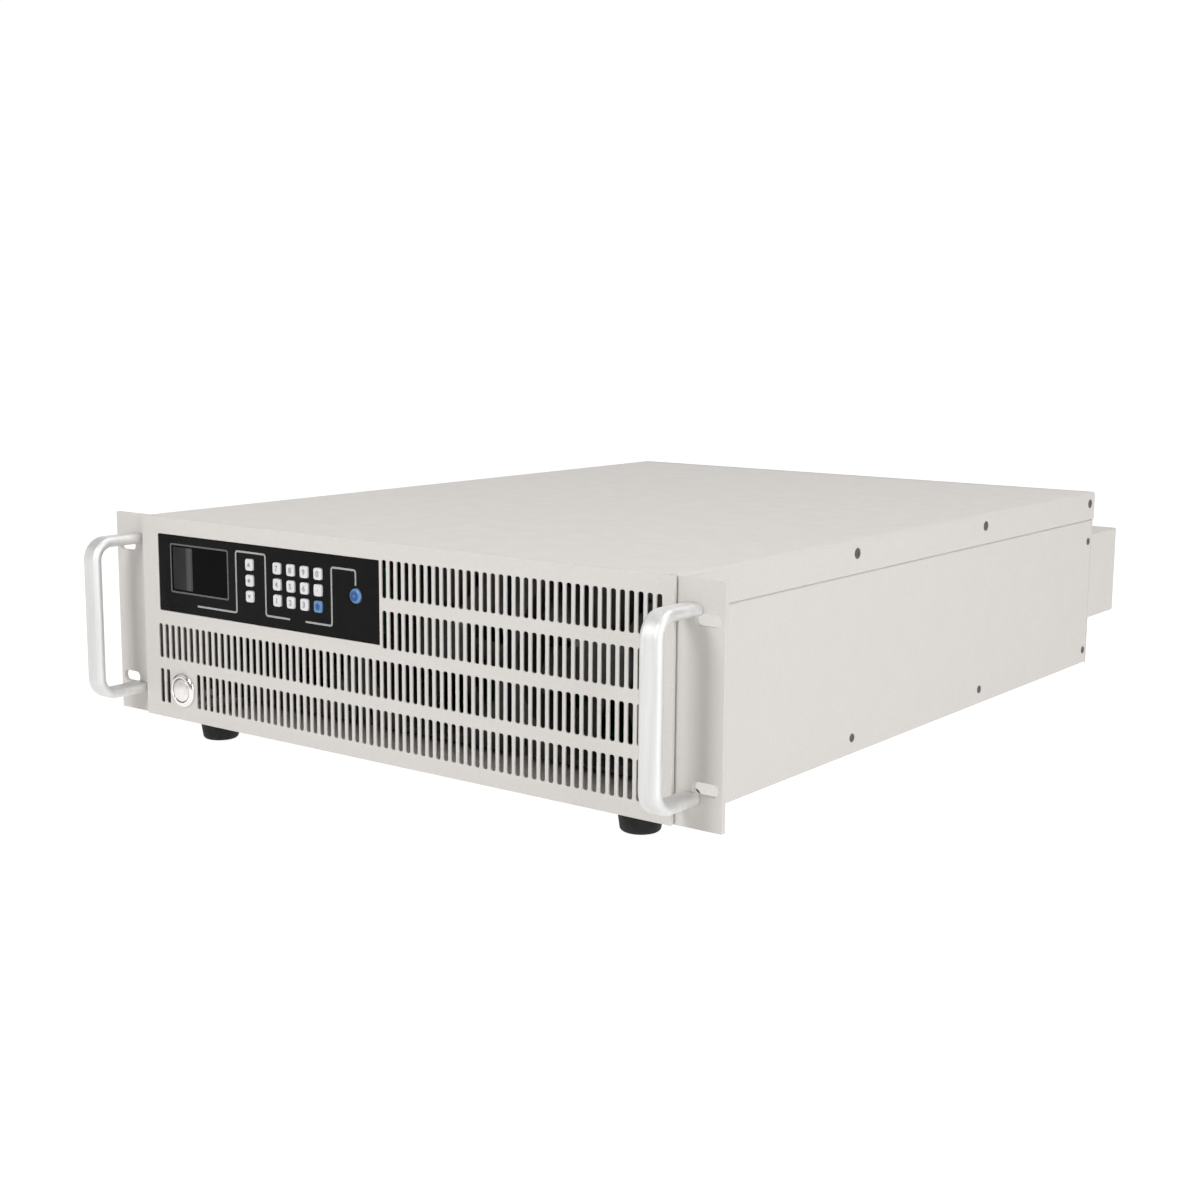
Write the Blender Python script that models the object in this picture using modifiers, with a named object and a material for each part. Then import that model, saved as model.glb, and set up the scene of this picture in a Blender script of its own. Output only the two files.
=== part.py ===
"""A 3U, 19-inch rack battery unit: chassis, front grille, keypad, fans, cells and rear terminals.

Metres, +Z up, front facing -Y. Every piece is placed from the panel datum: X from the middle of
the front panel, Y back from the front plane of the rack ears, Z up from the underside of the case.
"""

import math

import bmesh
import bpy
from mathutils import Euler, Matrix, Vector

# Driving dimensions
GAP = 0.0003
SHEET = 0.0015
PANEL_WIDTH = 0.4826
PANEL_HEIGHT = 0.1325
PANEL_THICKNESS = 0.003
BODY_WIDTH = 0.423
BODY_REAR = 0.5635
FOOT_HEIGHT = 0.016
LID_SEAM = 0.1118
LID_REAR = 0.5655
LID_REAR_LIP = 0.0085
TRAY_LIP_DROP = 0.0045
COVER_REAR = 0.617
HANDLE_FRONT = -0.0391

# Front grille
SLOT_PITCH = 0.00594
SLOT_WIDTH = 0.0036
SLOT_HEIGHT = 0.0226
SLOT_COLUMNS = 68
LOWER_ROWS = (0.0097, 0.0397)
UPPER_ROWS = (0.0697, 0.0997)
UPPER_FIRST_COLUMN = 34
SLOT_FIRST_X = -0.1958
BUTTON_COLUMNS = (2, 3, 4, 5)

# Control panel
CONTROL_X = (-0.1956, 0.002)
CONTROL_Z = (0.0716, 0.1215)
CONTROL_FACE = -0.0029
CONTROL_BACK = 0.0008
RIM_REACH = 0.00165
RIM_INSET = 0.004
WINDOW_X = (-0.183, -0.1297)
WINDOW_Z = (0.0853, 0.1153)
KEY_SIZE = (0.0067, 0.0073)
KEY_RADIUS = 0.0015
KEY_ROWS = (0.109, 0.099, 0.089)
SOFT_KEY_X = -0.1084
KEYPAD_X = (-0.08365, -0.07165, -0.05985, -0.04805)
RUN_KEY = (-0.0169, 0.0987)
RUN_KEY_RADIUS = 0.0047
KEY_FACE = -0.0041
KEY_TRAVEL = 0.0008
KEY_FLANGE = (0.0104, 0.0092)
STEM_RADIUS = 0.0016
SWITCH_SIZE = 0.006
BOARD_Y = 0.008
PCB = 0.0016

# Power button
BUTTON_X = -0.1748
BUTTON_Z = 0.0204
BUTTON_RADIUS = 0.01125
BARREL_RADIUS = 0.0094

# Rack ears and handles
EAR_INNER = 0.2067
FLANGE_INNER = 0.2081
HANDLE_X = 0.2208
HANDLE_LOW = 0.01625
HANDLE_HIGH = 0.11625
HANDLE_WIDTH = 0.0134
HANDLE_DEPTH = 0.0066
HANDLE_EDGE = 0.0030
HANDLE_SCREW_RADIUS = 0.0023
HANDLE_BEND = 0.0115
RACK_SLOT_X = 0.2307
RACK_SLOT_Z = (0.0222, 0.1111)
RACK_SLOT_SIZE = (0.0160, 0.0068)
FLANGE_SHEET = 0.0016
FLANGE_Z = (0.004, 0.106)
EAR_FLANGE_Y = (0.001, 0.048)

# Feet
FOOT_X = (0.172, 0.164)
FOOT_Y = (0.025, 0.530)
FOOT_TOP_RADIUS = 0.0133
FOOT_BASE_RADIUS = 0.0116

# Fans
FAN_X = (-0.125, 0.0, 0.125)
FAN_Z = 0.0662
FAN_FRONT = 0.045
FAN_DEPTH = 0.038
FAN_SIZE = 0.1195
FAN_BORE = 0.0575
FAN_SCREW_INSET = 0.0075
FAN_SCREW_RADIUS = 0.0022
STRUT_WIDTH = 0.005
BOSS_RADIUS = 0.020
HUB_RADIUS = 0.021
BLADES = 7
BLADE_TIP = 0.054
BLADE_CHORD = 0.029
BLADE_SHEET = 0.0018
BLADE_PITCH = math.radians(40)

# Battery modules
MODULE_SIZE = (0.196, 0.160, 0.114)
MODULE_X = 0.099
MODULE_Y = (0.295, 0.457)
MODULE_FLOOR = 0.004
CELLS = 4
CELL_GAP = 0.0004
BAND_STEP = 0.0015
BAND_Z = (0.050, 0.075)
POST_X = 0.0735
POST_Y = 0.060

# Rear
REAR_PLATE = BODY_REAR - SHEET
COVER_X = (0.051, 0.2112)
COVER_Z = (0.0347, 0.100)
REAR_FLANGE_FRONT = 0.545
OUTLET_RADIUS = 0.012
OUTLET_Y = 0.590
BLOCK_X = (0.0797, 0.1703)
BLOCK_Z = (0.0527, 0.0813)
BAR_X = (0.100, 0.150)
BAR_Z = (0.057, 0.077)
BAR_END = 0.600
VENT_ROWS = (0.040, 0.084)
VENT_COLUMNS = 19
VENT_FIRST_X = -0.196
VENT_PITCH = 0.012
VENT_SIZE = (0.006, 0.038)
SOCKET_X = (-0.160, -0.128)
SOCKET_Z = (0.009, 0.025)

UNIT_NAME = "rack_battery"
FACING_FRONT = (math.pi / 2, 0.0, 0.0)


def clear_scene():
    for item in list(bpy.data.objects):
        bpy.data.objects.remove(item, do_unlink=True)


clear_scene()
unit = bpy.data.collections.new(UNIT_NAME)
helpers = bpy.data.collections.new("cutters")
bpy.context.scene.collection.children.link(unit)
bpy.context.scene.collection.children.link(helpers)
datum = bpy.data.objects.new("panel_datum", None)
datum.location = (0.0, -(COVER_REAR + HANDLE_FRONT) / 2, FOOT_HEIGHT)
unit.objects.link(datum)


# Materials

def principled(name, color, roughness, metallic=0.0):
    material = bpy.data.materials.get(name) or bpy.data.materials.new(name)
    material.use_nodes = True
    shader = material.node_tree.nodes["Principled BSDF"]
    shader.inputs["Base Color"].default_value = (*color, 1.0)
    shader.inputs["Roughness"].default_value = roughness
    shader.inputs["Metallic"].default_value = metallic
    return material


def case_paint():
    return principled("case_paint", (0.73, 0.71, 0.68), 0.55)


def satin_aluminium():
    return principled("satin_aluminium", (0.80, 0.79, 0.78), 0.35, 0.9)


def polished_steel():
    return principled("polished_steel", (0.78, 0.77, 0.76), 0.18, 1.0)


def zinc_sheet():
    return principled("zinc_sheet", (0.62, 0.63, 0.64), 0.40, 0.9)


def black_rubber():
    return principled("black_rubber", (0.02, 0.02, 0.02), 0.75)


def black_overlay():
    return principled("black_overlay", (0.012, 0.012, 0.012), 0.25)


def black_plastic():
    return principled("black_plastic", (0.02, 0.02, 0.02), 0.50)


def white_key():
    return principled("white_key", (0.78, 0.78, 0.78), 0.45)


def blue_key():
    return principled("blue_key", (0.05, 0.30, 0.70), 0.45)


def dark_glass():
    return principled("dark_glass", (0.02, 0.02, 0.022), 0.06)


def circuit_board():
    return principled("circuit_board", (0.02, 0.17, 0.07), 0.50)


def cell_case():
    return principled("cell_case", (0.06, 0.17, 0.36), 0.50)


def copper():
    return principled("copper", (0.72, 0.38, 0.24), 0.30, 1.0)


# Shape helpers

def add_object(name, data, location=(0.0, 0.0, 0.0), rotation=(0.0, 0.0, 0.0), helper=False):
    item = bpy.data.objects.new(name, data)
    item.parent = datum
    item.location = location
    item.rotation_euler = rotation
    item.hide_render = helper
    item.display_type = "WIRE" if helper else "TEXTURED"
    (helpers if helper else unit).objects.link(item)
    return item


def finish(item, material):
    """Gives a piece its material and returns it."""
    item.data.materials.clear()
    item.data.materials.append(material)
    return item


def box(name, low, high, helper=False):
    """A box between two corners, with its origin at its middle."""
    size = Vector(high) - Vector(low)
    shape = bmesh.new()
    bmesh.ops.create_cube(shape, size=1.0)
    bmesh.ops.scale(shape, vec=size, verts=shape.verts)
    mesh = bpy.data.meshes.new(name)
    shape.to_mesh(mesh)
    shape.free()
    return add_object(name, mesh, (Vector(low) + Vector(high)) / 2, helper=helper)


def cylinder(name, radius, start, length, axis="Z", segments=24, helper=False):
    """A cylinder from a start point along an axis, with its origin at its middle."""
    turn = {"X": Euler((0, math.pi / 2, 0)), "Y": Euler((-math.pi / 2, 0, 0)), "Z": Euler((0, 0, 0))}
    rotation = turn[axis].to_matrix()
    shape = bmesh.new()
    bmesh.ops.create_cone(
        shape, cap_ends=True, segments=segments, radius1=radius, radius2=radius, depth=length,
        matrix=rotation.to_4x4(),
    )
    mesh = bpy.data.meshes.new(name)
    shape.to_mesh(mesh)
    shape.free()
    middle = Vector(start) + rotation @ Vector((0, 0, length / 2))
    return add_object(name, mesh, middle, helper=helper)


def rectangle(low_x, high_x, low_y, high_y):
    return [(low_x, low_y), (high_x, low_y), (high_x, high_y), (low_x, high_y)]


def circle(x, y, radius, segments=24):
    turns = [2 * math.pi * step / segments for step in range(segments)]
    return [(x + radius * math.cos(turn), y + radius * math.sin(turn)) for turn in turns]


def rounded(x, y, width, height, radius, steps=3):
    """The outline of a rectangle with round corners, about its middle."""
    points = []
    for quarter, (side_x, side_y) in enumerate(((1, 1), (-1, 1), (-1, -1), (1, -1))):
        centre_x = x + side_x * (width / 2 - radius)
        centre_y = y + side_y * (height / 2 - radius)
        for step in range(steps + 1):
            turn = (quarter + step / steps) * math.pi / 2
            points.append((centre_x + radius * math.cos(turn), centre_y + radius * math.sin(turn)))
    return points


def outline(name, loops, thickness, location, rotation, helper=False):
    """A flat outline with holes, filled and extruded to a thickness about its own plane."""
    curve = bpy.data.curves.new(name, "CURVE")
    curve.dimensions = "2D"
    curve.fill_mode = "BOTH"
    curve.extrude = thickness / 2
    for loop in loops:
        spline = curve.splines.new("POLY")
        spline.points.add(len(loop) - 1)
        for point, (x, y) in zip(spline.points, loop):
            point.co = (x, y, 0.0, 1.0)
        spline.use_cyclic_u = True
    return add_object(name, curve, location, rotation, helper)


def plate(name, loops, front, back, helper=False):
    """An outline in X and Z, as thick as from front to back along Y."""
    return outline(name, loops, back - front, (0, (front + back) / 2, 0), FACING_FRONT, helper)


def layer(name, loops, low, high, helper=False):
    """An outline in X and Y, as thick as from low to high along Z."""
    return outline(name, loops, high - low, (0, 0, (low + high) / 2), (0, 0, 0), helper)


def as_mesh(item):
    """Replaces a curve or a modified object by the mesh that it shows."""
    bpy.context.view_layer.update()
    graph = bpy.context.evaluated_depsgraph_get()
    mesh = bpy.data.meshes.new_from_object(item.evaluated_get(graph))
    shape = bmesh.new()
    shape.from_mesh(mesh)
    bmesh.ops.remove_doubles(shape, verts=shape.verts, dist=1e-6)
    bmesh.ops.recalc_face_normals(shape, faces=shape.faces)
    shape.to_mesh(mesh)
    shape.free()
    name = item.name
    location = item.location.copy()
    rotation = item.rotation_euler.copy()
    helper = item.hide_render
    bpy.data.objects.remove(item, do_unlink=True)
    return add_object(name, mesh, location, rotation, helper)


def combine(base, tools, operation):
    """Joins the tools to the base, or cuts them from it, and bakes the result."""
    for tool in tools:
        step = base.modifiers.new(tool.name, "BOOLEAN")
        step.operation = operation
        step.solver = "EXACT"
        step.object = tool
    baked = as_mesh(base)
    for tool in tools:
        bpy.data.objects.remove(tool, do_unlink=True)
    return baked


def join(base, tools):
    return combine(base, tools, "UNION")


def cut(base, tools):
    return combine(base, tools, "DIFFERENCE")


def turned(name, profile, location, rotation=(0.0, 0.0, 0.0), steps=24, closed=False):
    """A profile of (radius, height) turned about local Z, running down its outer side."""
    mesh = bpy.data.meshes.new(name)
    points = [(radius, 0.0, height) for radius, height in profile]
    edges = [(index, index + 1) for index in range(len(points) - 1)]
    if closed:
        edges.append((len(points) - 1, 0))
    mesh.from_pydata(points, edges, [])
    item = add_object(name, mesh, location, rotation)
    screw = item.modifiers.new("turn", "SCREW")
    screw.axis = "Z"
    screw.steps = steps
    screw.render_steps = steps
    screw.use_merge_vertices = True
    screw.merge_threshold = 0.00002
    screw.use_smooth_shade = True
    return item


def mirrored(half):
    """An outline from its right half, listed from the middle line round to the middle line."""
    return half + [(-x, y) for x, y in reversed(half)]


def copies(item, name, location, rotation=(0.0, 0.0, 0.0)):
    """Another object with the same mesh."""
    return add_object(name, item.data, location, rotation)


# Case

def front_tongue(low):
    """The strip of sheet that runs forward between the rack ears to the back of the grille."""
    reach = EAR_INNER - GAP
    front = (-reach, 0.0, low)
    return box("front_tongue", front, (reach, PANEL_THICKNESS + 2 * SHEET, low + SHEET), helper=True)


def base_tray():
    side = BODY_WIDTH / 2
    lip = side - SHEET - GAP
    half = [
        (side, 0.0),
        (side, LID_SEAM - GAP),
        (lip, LID_SEAM - GAP),
        (lip, PANEL_HEIGHT - TRAY_LIP_DROP),
        (lip - SHEET, PANEL_HEIGHT - TRAY_LIP_DROP),
        (lip - SHEET, LID_SEAM - GAP - SHEET),
        (side - SHEET, LID_SEAM - GAP - SHEET),
        (side - SHEET, SHEET),
    ]
    tray = as_mesh(plate("base_tray", [mirrored(half)], PANEL_THICKNESS + GAP, REAR_PLATE - GAP))
    return finish(join(tray, [front_tongue(0.0)]), case_paint())


def top_lid():
    side = BODY_WIDTH / 2
    half = [
        (side - SHEET, PANEL_HEIGHT - SHEET),
        (side - SHEET, LID_SEAM),
        (side, LID_SEAM),
        (side, PANEL_HEIGHT),
    ]
    lid = as_mesh(plate("top_lid", [mirrored(half)], PANEL_THICKNESS + GAP, LID_REAR))
    lip = box(
        "rear_lip",
        (-side + SHEET / 2, LID_REAR - SHEET, PANEL_HEIGHT - LID_REAR_LIP),
        (side - SHEET / 2, LID_REAR - SHEET / 8, PANEL_HEIGHT - SHEET / 2),
        helper=True,
    )
    return finish(join(lid, [lip, front_tongue(PANEL_HEIGHT - SHEET)]), case_paint())


def rear_panel():
    side = BODY_WIDTH / 2
    upper = side - SHEET - GAP
    half = [
        (side, 0.0),
        (side, LID_SEAM - GAP),
        (upper, LID_SEAM - GAP),
        (upper, PANEL_HEIGHT - SHEET - GAP),
    ]
    holes = []
    for row in VENT_ROWS:
        for column in range(VENT_COLUMNS):
            x = VENT_FIRST_X + column * VENT_PITCH
            holes.append(rectangle(x - VENT_SIZE[0] / 2, x + VENT_SIZE[0] / 2, row, row + VENT_SIZE[1]))
    holes.append(rectangle(*BLOCK_X, *BLOCK_Z))
    holes.append(rectangle(SOCKET_X[0] - GAP, SOCKET_X[1] + GAP, SOCKET_Z[0] - GAP, SOCKET_Z[1] + GAP))
    cutter = as_mesh(plate("holes", holes, REAR_PLATE - SHEET, BODY_REAR + SHEET, helper=True))
    panel = as_mesh(plate("rear_panel", [mirrored(half)], REAR_PLATE, BODY_REAR))
    flanges = []
    for sign in (-1, 1):
        low_x, high_x = sorted((sign * FLANGE_INNER, sign * (FLANGE_INNER + FLANGE_SHEET)))
        flanges.append(box(
            "flange",
            (low_x, REAR_FLANGE_FRONT, FLANGE_Z[0]),
            (high_x, REAR_PLATE + SHEET / 2, FLANGE_Z[1]),
            helper=True,
        ))
    return finish(cut(join(panel, flanges), [cutter]), case_paint())


def terminal_cover():
    cover = box(
        "terminal_cover",
        (COVER_X[0], BODY_REAR + GAP, COVER_Z[0]),
        (COVER_X[1], COVER_REAR, COVER_Z[1]),
    )
    hollow = box(
        "hollow",
        (COVER_X[0] + SHEET, BODY_REAR - 0.01, COVER_Z[0] + SHEET),
        (COVER_X[1] - SHEET, COVER_REAR - SHEET, COVER_Z[1] - SHEET),
        helper=True,
    )
    outlets = [
        cylinder("outlet", OUTLET_RADIUS, (x, OUTLET_Y, COVER_Z[0] - 0.005), 0.010, helper=True)
        for x in BAR_X
    ]
    return finish(cut(cover, [hollow] + outlets), case_paint())


def front_grille():
    side = BODY_WIDTH / 2
    loops = [rectangle(-side, side, 0.0, PANEL_HEIGHT)]
    for row in LOWER_ROWS + UPPER_ROWS:
        for column in range(SLOT_COLUMNS):
            over_display = row in UPPER_ROWS and column < UPPER_FIRST_COLUMN
            over_button = row == LOWER_ROWS[0] and column in BUTTON_COLUMNS
            if over_display or over_button:
                continue
            x = SLOT_FIRST_X + column * SLOT_PITCH
            loops.append(rectangle(x - SLOT_WIDTH / 2, x + SLOT_WIDTH / 2, row, row + SLOT_HEIGHT))
    loops.append(
        rectangle(CONTROL_X[0] - GAP, CONTROL_X[1] + GAP, CONTROL_Z[0] - GAP, CONTROL_Z[1] + GAP)
    )
    loops.append(circle(BUTTON_X, BUTTON_Z, BARREL_RADIUS + GAP))
    return finish(plate("front_grille", loops, -PANEL_THICKNESS, -GAP), case_paint())


def rack_ear(name, sign):
    edges = sorted((sign * EAR_INNER, sign * PANEL_WIDTH / 2))
    loops = [rectangle(edges[0], edges[1], 0.0, PANEL_HEIGHT)]
    for z in RACK_SLOT_Z:
        width, height = RACK_SLOT_SIZE
        loops.append(rounded(sign * RACK_SLOT_X, z, width, height, height / 2))
    for z in (HANDLE_LOW, HANDLE_HIGH):
        loops.append(circle(sign * HANDLE_X, z, HANDLE_SCREW_RADIUS, 12))
    ear = as_mesh(plate(name, loops, 0.0, PANEL_THICKNESS))
    low_x, high_x = sorted((sign * FLANGE_INNER, sign * (FLANGE_INNER + FLANGE_SHEET)))
    flange = box(
        "flange",
        (low_x, EAR_FLANGE_Y[0], FLANGE_Z[0]),
        (high_x, EAR_FLANGE_Y[1], FLANGE_Z[1]),
        helper=True,
    )
    return finish(join(ear, [flange]), case_paint())


def handle_path():
    """Points of the grip's middle line in Y and Z, with a round bend at each end."""
    front = HANDLE_FRONT + HANDLE_DEPTH / 2
    points = [(-GAP, HANDLE_LOW)]
    for step in range(6):
        turn = step / 5 * math.pi / 2
        y = front + HANDLE_BEND * (1 - math.sin(turn))
        points.append((y, HANDLE_LOW + HANDLE_BEND * (1 - math.cos(turn))))
    middle = (HANDLE_LOW + HANDLE_HIGH) / 2
    return points + [(y, 2 * middle - z) for y, z in reversed(points)]


def handle_section():
    curve = bpy.data.curves.new("handle_section", "CURVE")
    curve.dimensions = "2D"
    spline = curve.splines.new("POLY")
    section = rounded(0, 0, HANDLE_DEPTH, HANDLE_WIDTH, HANDLE_EDGE, 2)
    spline.points.add(len(section) - 1)
    for point, (x, y) in zip(spline.points, section):
        point.co = (x, y, 0.0, 1.0)
    spline.use_cyclic_u = True
    return add_object("handle_section", curve, helper=True)


def handle(name, sign, section):
    curve = bpy.data.curves.new(name, "CURVE")
    curve.dimensions = "3D"
    curve.twist_mode = "Z_UP"
    curve.bevel_mode = "OBJECT"
    curve.bevel_object = section
    curve.use_fill_caps = True
    spline = curve.splines.new("POLY")
    path = handle_path()
    spline.points.add(len(path) - 1)
    for point, (y, z) in zip(spline.points, path):
        point.co = (z, y, 0.0, 1.0)
    upright = Matrix(((0, 0, 1), (0, 1, 0), (-1, 0, 0))).inverted().to_euler()
    grip = as_mesh(add_object(name, curve, (sign * HANDLE_X, 0, 0), upright))
    return finish(grip, satin_aluminium())


def feet():
    profile = [
        (FOOT_TOP_RADIUS, FOOT_HEIGHT - GAP),
        (FOOT_TOP_RADIUS, FOOT_HEIGHT - 0.003),
        (FOOT_BASE_RADIUS, 0.002),
        (FOOT_BASE_RADIUS - 0.002, 0.0),
        (0.005, 0.0),
        (0.005, 0.008),
        (0.0022, 0.008),
        (0.0022, FOOT_HEIGHT - GAP),
    ]
    first = None
    for x, y, end in zip(FOOT_X, FOOT_Y, ("front", "rear")):
        for sign, side in ((-1, "left"), (1, "right")):
            name = f"foot_{end}_{side}"
            place = (sign * x, y, -FOOT_HEIGHT)
            if first is None:
                first = as_mesh(turned(name, profile, place, steps=18, closed=True))
                finish(first, black_rubber())
            else:
                copies(first, name, place)


# Controls

def key_centres():
    """Every square key's name and its middle in X and Z."""
    found = [(f"soft_key_{row + 1}", SOFT_KEY_X, z) for row, z in enumerate(KEY_ROWS)]
    for row, z in enumerate(KEY_ROWS):
        for column, x in enumerate(KEYPAD_X):
            found.append((f"keypad_key_{row * len(KEYPAD_X) + column + 1}", x, z))
    return found


def control_panel():
    """The black panel with its retaining rim behind the grille, and its window and key holes."""
    middle_x = sum(CONTROL_X) / 2
    middle_z = sum(CONTROL_Z) / 2
    panel = box(
        "control_panel",
        (CONTROL_X[0], CONTROL_FACE, CONTROL_Z[0]),
        (CONTROL_X[1], CONTROL_BACK, CONTROL_Z[1]),
    )
    width = CONTROL_X[1] - CONTROL_X[0]
    height = CONTROL_Z[1] - CONTROL_Z[0]
    rim = rounded(middle_x, middle_z, width + 2 * RIM_REACH, height + 2 * RIM_REACH, 0.001, 2)
    opening = rectangle(
        CONTROL_X[0] + RIM_INSET,
        CONTROL_X[1] - RIM_INSET,
        CONTROL_Z[0] + RIM_INSET,
        CONTROL_Z[1] - RIM_INSET,
    )
    flange = as_mesh(plate("rim", [rim, opening], 0.0, 0.0015, helper=True))
    hole = (KEY_SIZE[0] + 2 * GAP, KEY_SIZE[1] + 2 * GAP)
    holes = [rounded(x, z, *hole, KEY_RADIUS, 1) for _, x, z in key_centres()]
    holes.append(circle(*RUN_KEY, RUN_KEY_RADIUS + GAP))
    holes.append(rectangle(*WINDOW_X, *WINDOW_Z))
    cutter = as_mesh(plate("holes", holes, -0.006, 0.004, helper=True))
    return finish(cut(join(panel, [flange]), [cutter]), black_overlay())


def display_lens():
    boss = box(
        "display_lens",
        (WINDOW_X[0] + GAP, CONTROL_FACE + 0.0004, WINDOW_Z[0] + GAP),
        (WINDOW_X[1] - GAP, CONTROL_BACK + 0.0006, WINDOW_Z[1] - GAP),
    )
    flange = box(
        "flange",
        (WINDOW_X[0] - 0.003, CONTROL_BACK + GAP, WINDOW_Z[0] - 0.003),
        (WINDOW_X[1] + 0.003, CONTROL_BACK + 0.0013, WINDOW_Z[1] + 0.0019),
        helper=True,
    )
    return finish(join(boss, [flange]), dark_glass())


def display_module():
    body = box(
        "display_module",
        (WINDOW_X[0] - 0.003, 0.0024, WINDOW_Z[0] - 0.003),
        (WINDOW_X[1] + 0.003, BOARD_Y - GAP, WINDOW_Z[1] + 0.0019),
    )
    return finish(body, black_plastic())


def key_mesh():
    """A square key: its cap, the wider flange that keeps it in the panel, and its stem."""
    width, height = KEY_SIZE
    cap = as_mesh(plate("key", [rounded(0, 0, width, height, KEY_RADIUS, 1)], KEY_FACE, 0.0015))
    reach_x, reach_z = KEY_FLANGE[0] / 2, KEY_FLANGE[1] / 2
    low = (-reach_x, CONTROL_BACK + GAP, -reach_z)
    flange = box("flange", low, (reach_x, 0.0020, reach_z), helper=True)
    stem = cylinder("stem", STEM_RADIUS, (0, 0.0015, 0), 0.0027, "Y", 8, helper=True)
    return join(cap, [flange, stem])


def square_keys():
    pattern = key_mesh()
    pattern.rotation_euler = FACING_FRONT
    for name, x, z in key_centres():
        last = name == f"keypad_key_{len(KEY_ROWS) * len(KEYPAD_X)}"
        key = add_object(name, pattern.data.copy(), (x, pattern.location.y, z), FACING_FRONT)
        finish(key, blue_key() if last else white_key())
    bpy.data.objects.remove(pattern, do_unlink=True)


def run_key():
    profile = [
        (0.0, -KEY_FACE + 0.0004),
        (0.0036, -KEY_FACE + 0.0002),
        (RUN_KEY_RADIUS, -KEY_FACE - 0.0006),
        (RUN_KEY_RADIUS, -CONTROL_BACK - GAP),
        (RUN_KEY_RADIUS + 0.0012, -CONTROL_BACK - GAP),
        (RUN_KEY_RADIUS + 0.0012, -0.0020),
        (0.0016, -0.0020),
        (0.0016, -0.0042),
        (0.0, -0.0042),
    ]
    place = (RUN_KEY[0], 0.0, RUN_KEY[1])
    return finish(turned("run_key", profile, place, FACING_FRONT), blue_key())


def control_board():
    board = box(
        "control_board",
        (CONTROL_X[0] + 0.0050, BOARD_Y, CONTROL_Z[0] + 0.0045),
        (CONTROL_X[1] - 0.0050, BOARD_Y + PCB, CONTROL_Z[1] - 0.0045),
    )
    parts = []
    switches = [(x, z) for _, x, z in key_centres()] + [RUN_KEY]
    reach = SWITCH_SIZE / 2
    for x, z in switches:
        high = (x + reach, BOARD_Y + 0.0005, z + reach)
        parts.append(box("switch", (x - reach, 0.0052, z - reach), high, True))
    for x in (CONTROL_X[0] + 0.0066, CONTROL_X[1] - 0.0072):
        for z in (CONTROL_Z[0] + 0.0068, CONTROL_Z[1] - 0.0068):
            start = (x, CONTROL_BACK + GAP, z)
            parts.append(cylinder("standoff", 0.002, start, BOARD_Y - CONTROL_BACK, "Y", 12, helper=True))
    parts.append(box("processor", (-0.100, 0.0091, 0.090), (-0.080, 0.0120, 0.110), True))
    parts.append(box("connector", (-0.050, 0.0091, 0.082), (-0.020, 0.0170, 0.090), True))
    return finish(join(board, parts), circuit_board())


def power_button():
    place = (BUTTON_X, 0.0, BUTTON_Z)
    bezel = [
        (BUTTON_RADIUS - 0.0012, 0.0056),
        (BUTTON_RADIUS, 0.0046),
        (BUTTON_RADIUS, PANEL_THICKNESS + GAP),
        (BARREL_RADIUS, PANEL_THICKNESS + GAP),
        (BARREL_RADIUS, -0.016),
        (0.0086, -0.016),
        (0.0086, -0.001),
        (0.0076, -0.001),
        (0.0076, 0.0056),
    ]
    finish(turned("power_button_bezel", bezel, place, FACING_FRONT, closed=True), polished_steel())
    cap = [
        (0.0, 0.0066),
        (0.0045, 0.0063),
        (0.0073, 0.0052),
        (0.0073, -0.0013),
        (0.0083, -0.0013),
        (0.0083, -0.0030),
        (0.0030, -0.0030),
        (0.0030, -0.0130),
        (0.0, -0.0130),
    ]
    finish(turned("power_button_cap", cap, place, FACING_FRONT), polished_steel())
    nut = [(0.0125, 0.0), (0.0125, -0.003), (BARREL_RADIUS + GAP, -0.003), (BARREL_RADIUS + GAP, 0.0)]
    finish(turned("power_button_nut", nut, place, FACING_FRONT, closed=True), polished_steel())
    body = cylinder("power_switch", 0.009, (BUTTON_X, 0.0163, BUTTON_Z), 0.0177, "Y")
    tabs = []
    for x in (-0.005, 0.005):
        low = (BUTTON_X + x - 0.0014, 0.0330, BUTTON_Z - 0.0004)
        tabs.append(box("tab", low, (BUTTON_X + x + 0.0014, 0.0400, BUTTON_Z + 0.0004), True))
    finish(join(body, tabs), black_plastic())


# Cooling

def fan_frame(name, x):
    """A square fan housing with the crossed struts and boss that carry the rotor's shaft."""
    back = FAN_FRONT + FAN_DEPTH
    corner = FAN_SIZE / 2 - FAN_SCREW_INSET
    loops = [rounded(x, FAN_Z, FAN_SIZE, FAN_SIZE, 0.004, 2), circle(x, FAN_Z, FAN_BORE, 32)]
    for side in (-1, 1):
        for level in (-1, 1):
            loops.append(circle(x + side * corner, FAN_Z + level * corner, FAN_SCREW_RADIUS, 8))
    housing = as_mesh(plate(name, loops, FAN_FRONT, back))
    reach = FAN_BORE + 0.0005
    half = STRUT_WIDTH / 2
    front, rear = back - 0.0045, back - 0.0005
    struts = [cylinder("boss", BOSS_RADIUS, (x, back - 0.006, FAN_Z), 0.0057, "Y", helper=True)]
    for across, up in ((reach, half), (half, reach)):
        low = (x - across, front, FAN_Z - up)
        struts.append(box("strut", low, (x + across, rear, FAN_Z + up), helper=True))
    housing = join(housing, struts)
    bore = cylinder("bore", 0.0021, (x, back - 0.010, FAN_Z), 0.020, "Y", helper=True)
    return finish(cut(housing, [bore]), black_plastic())


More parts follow.
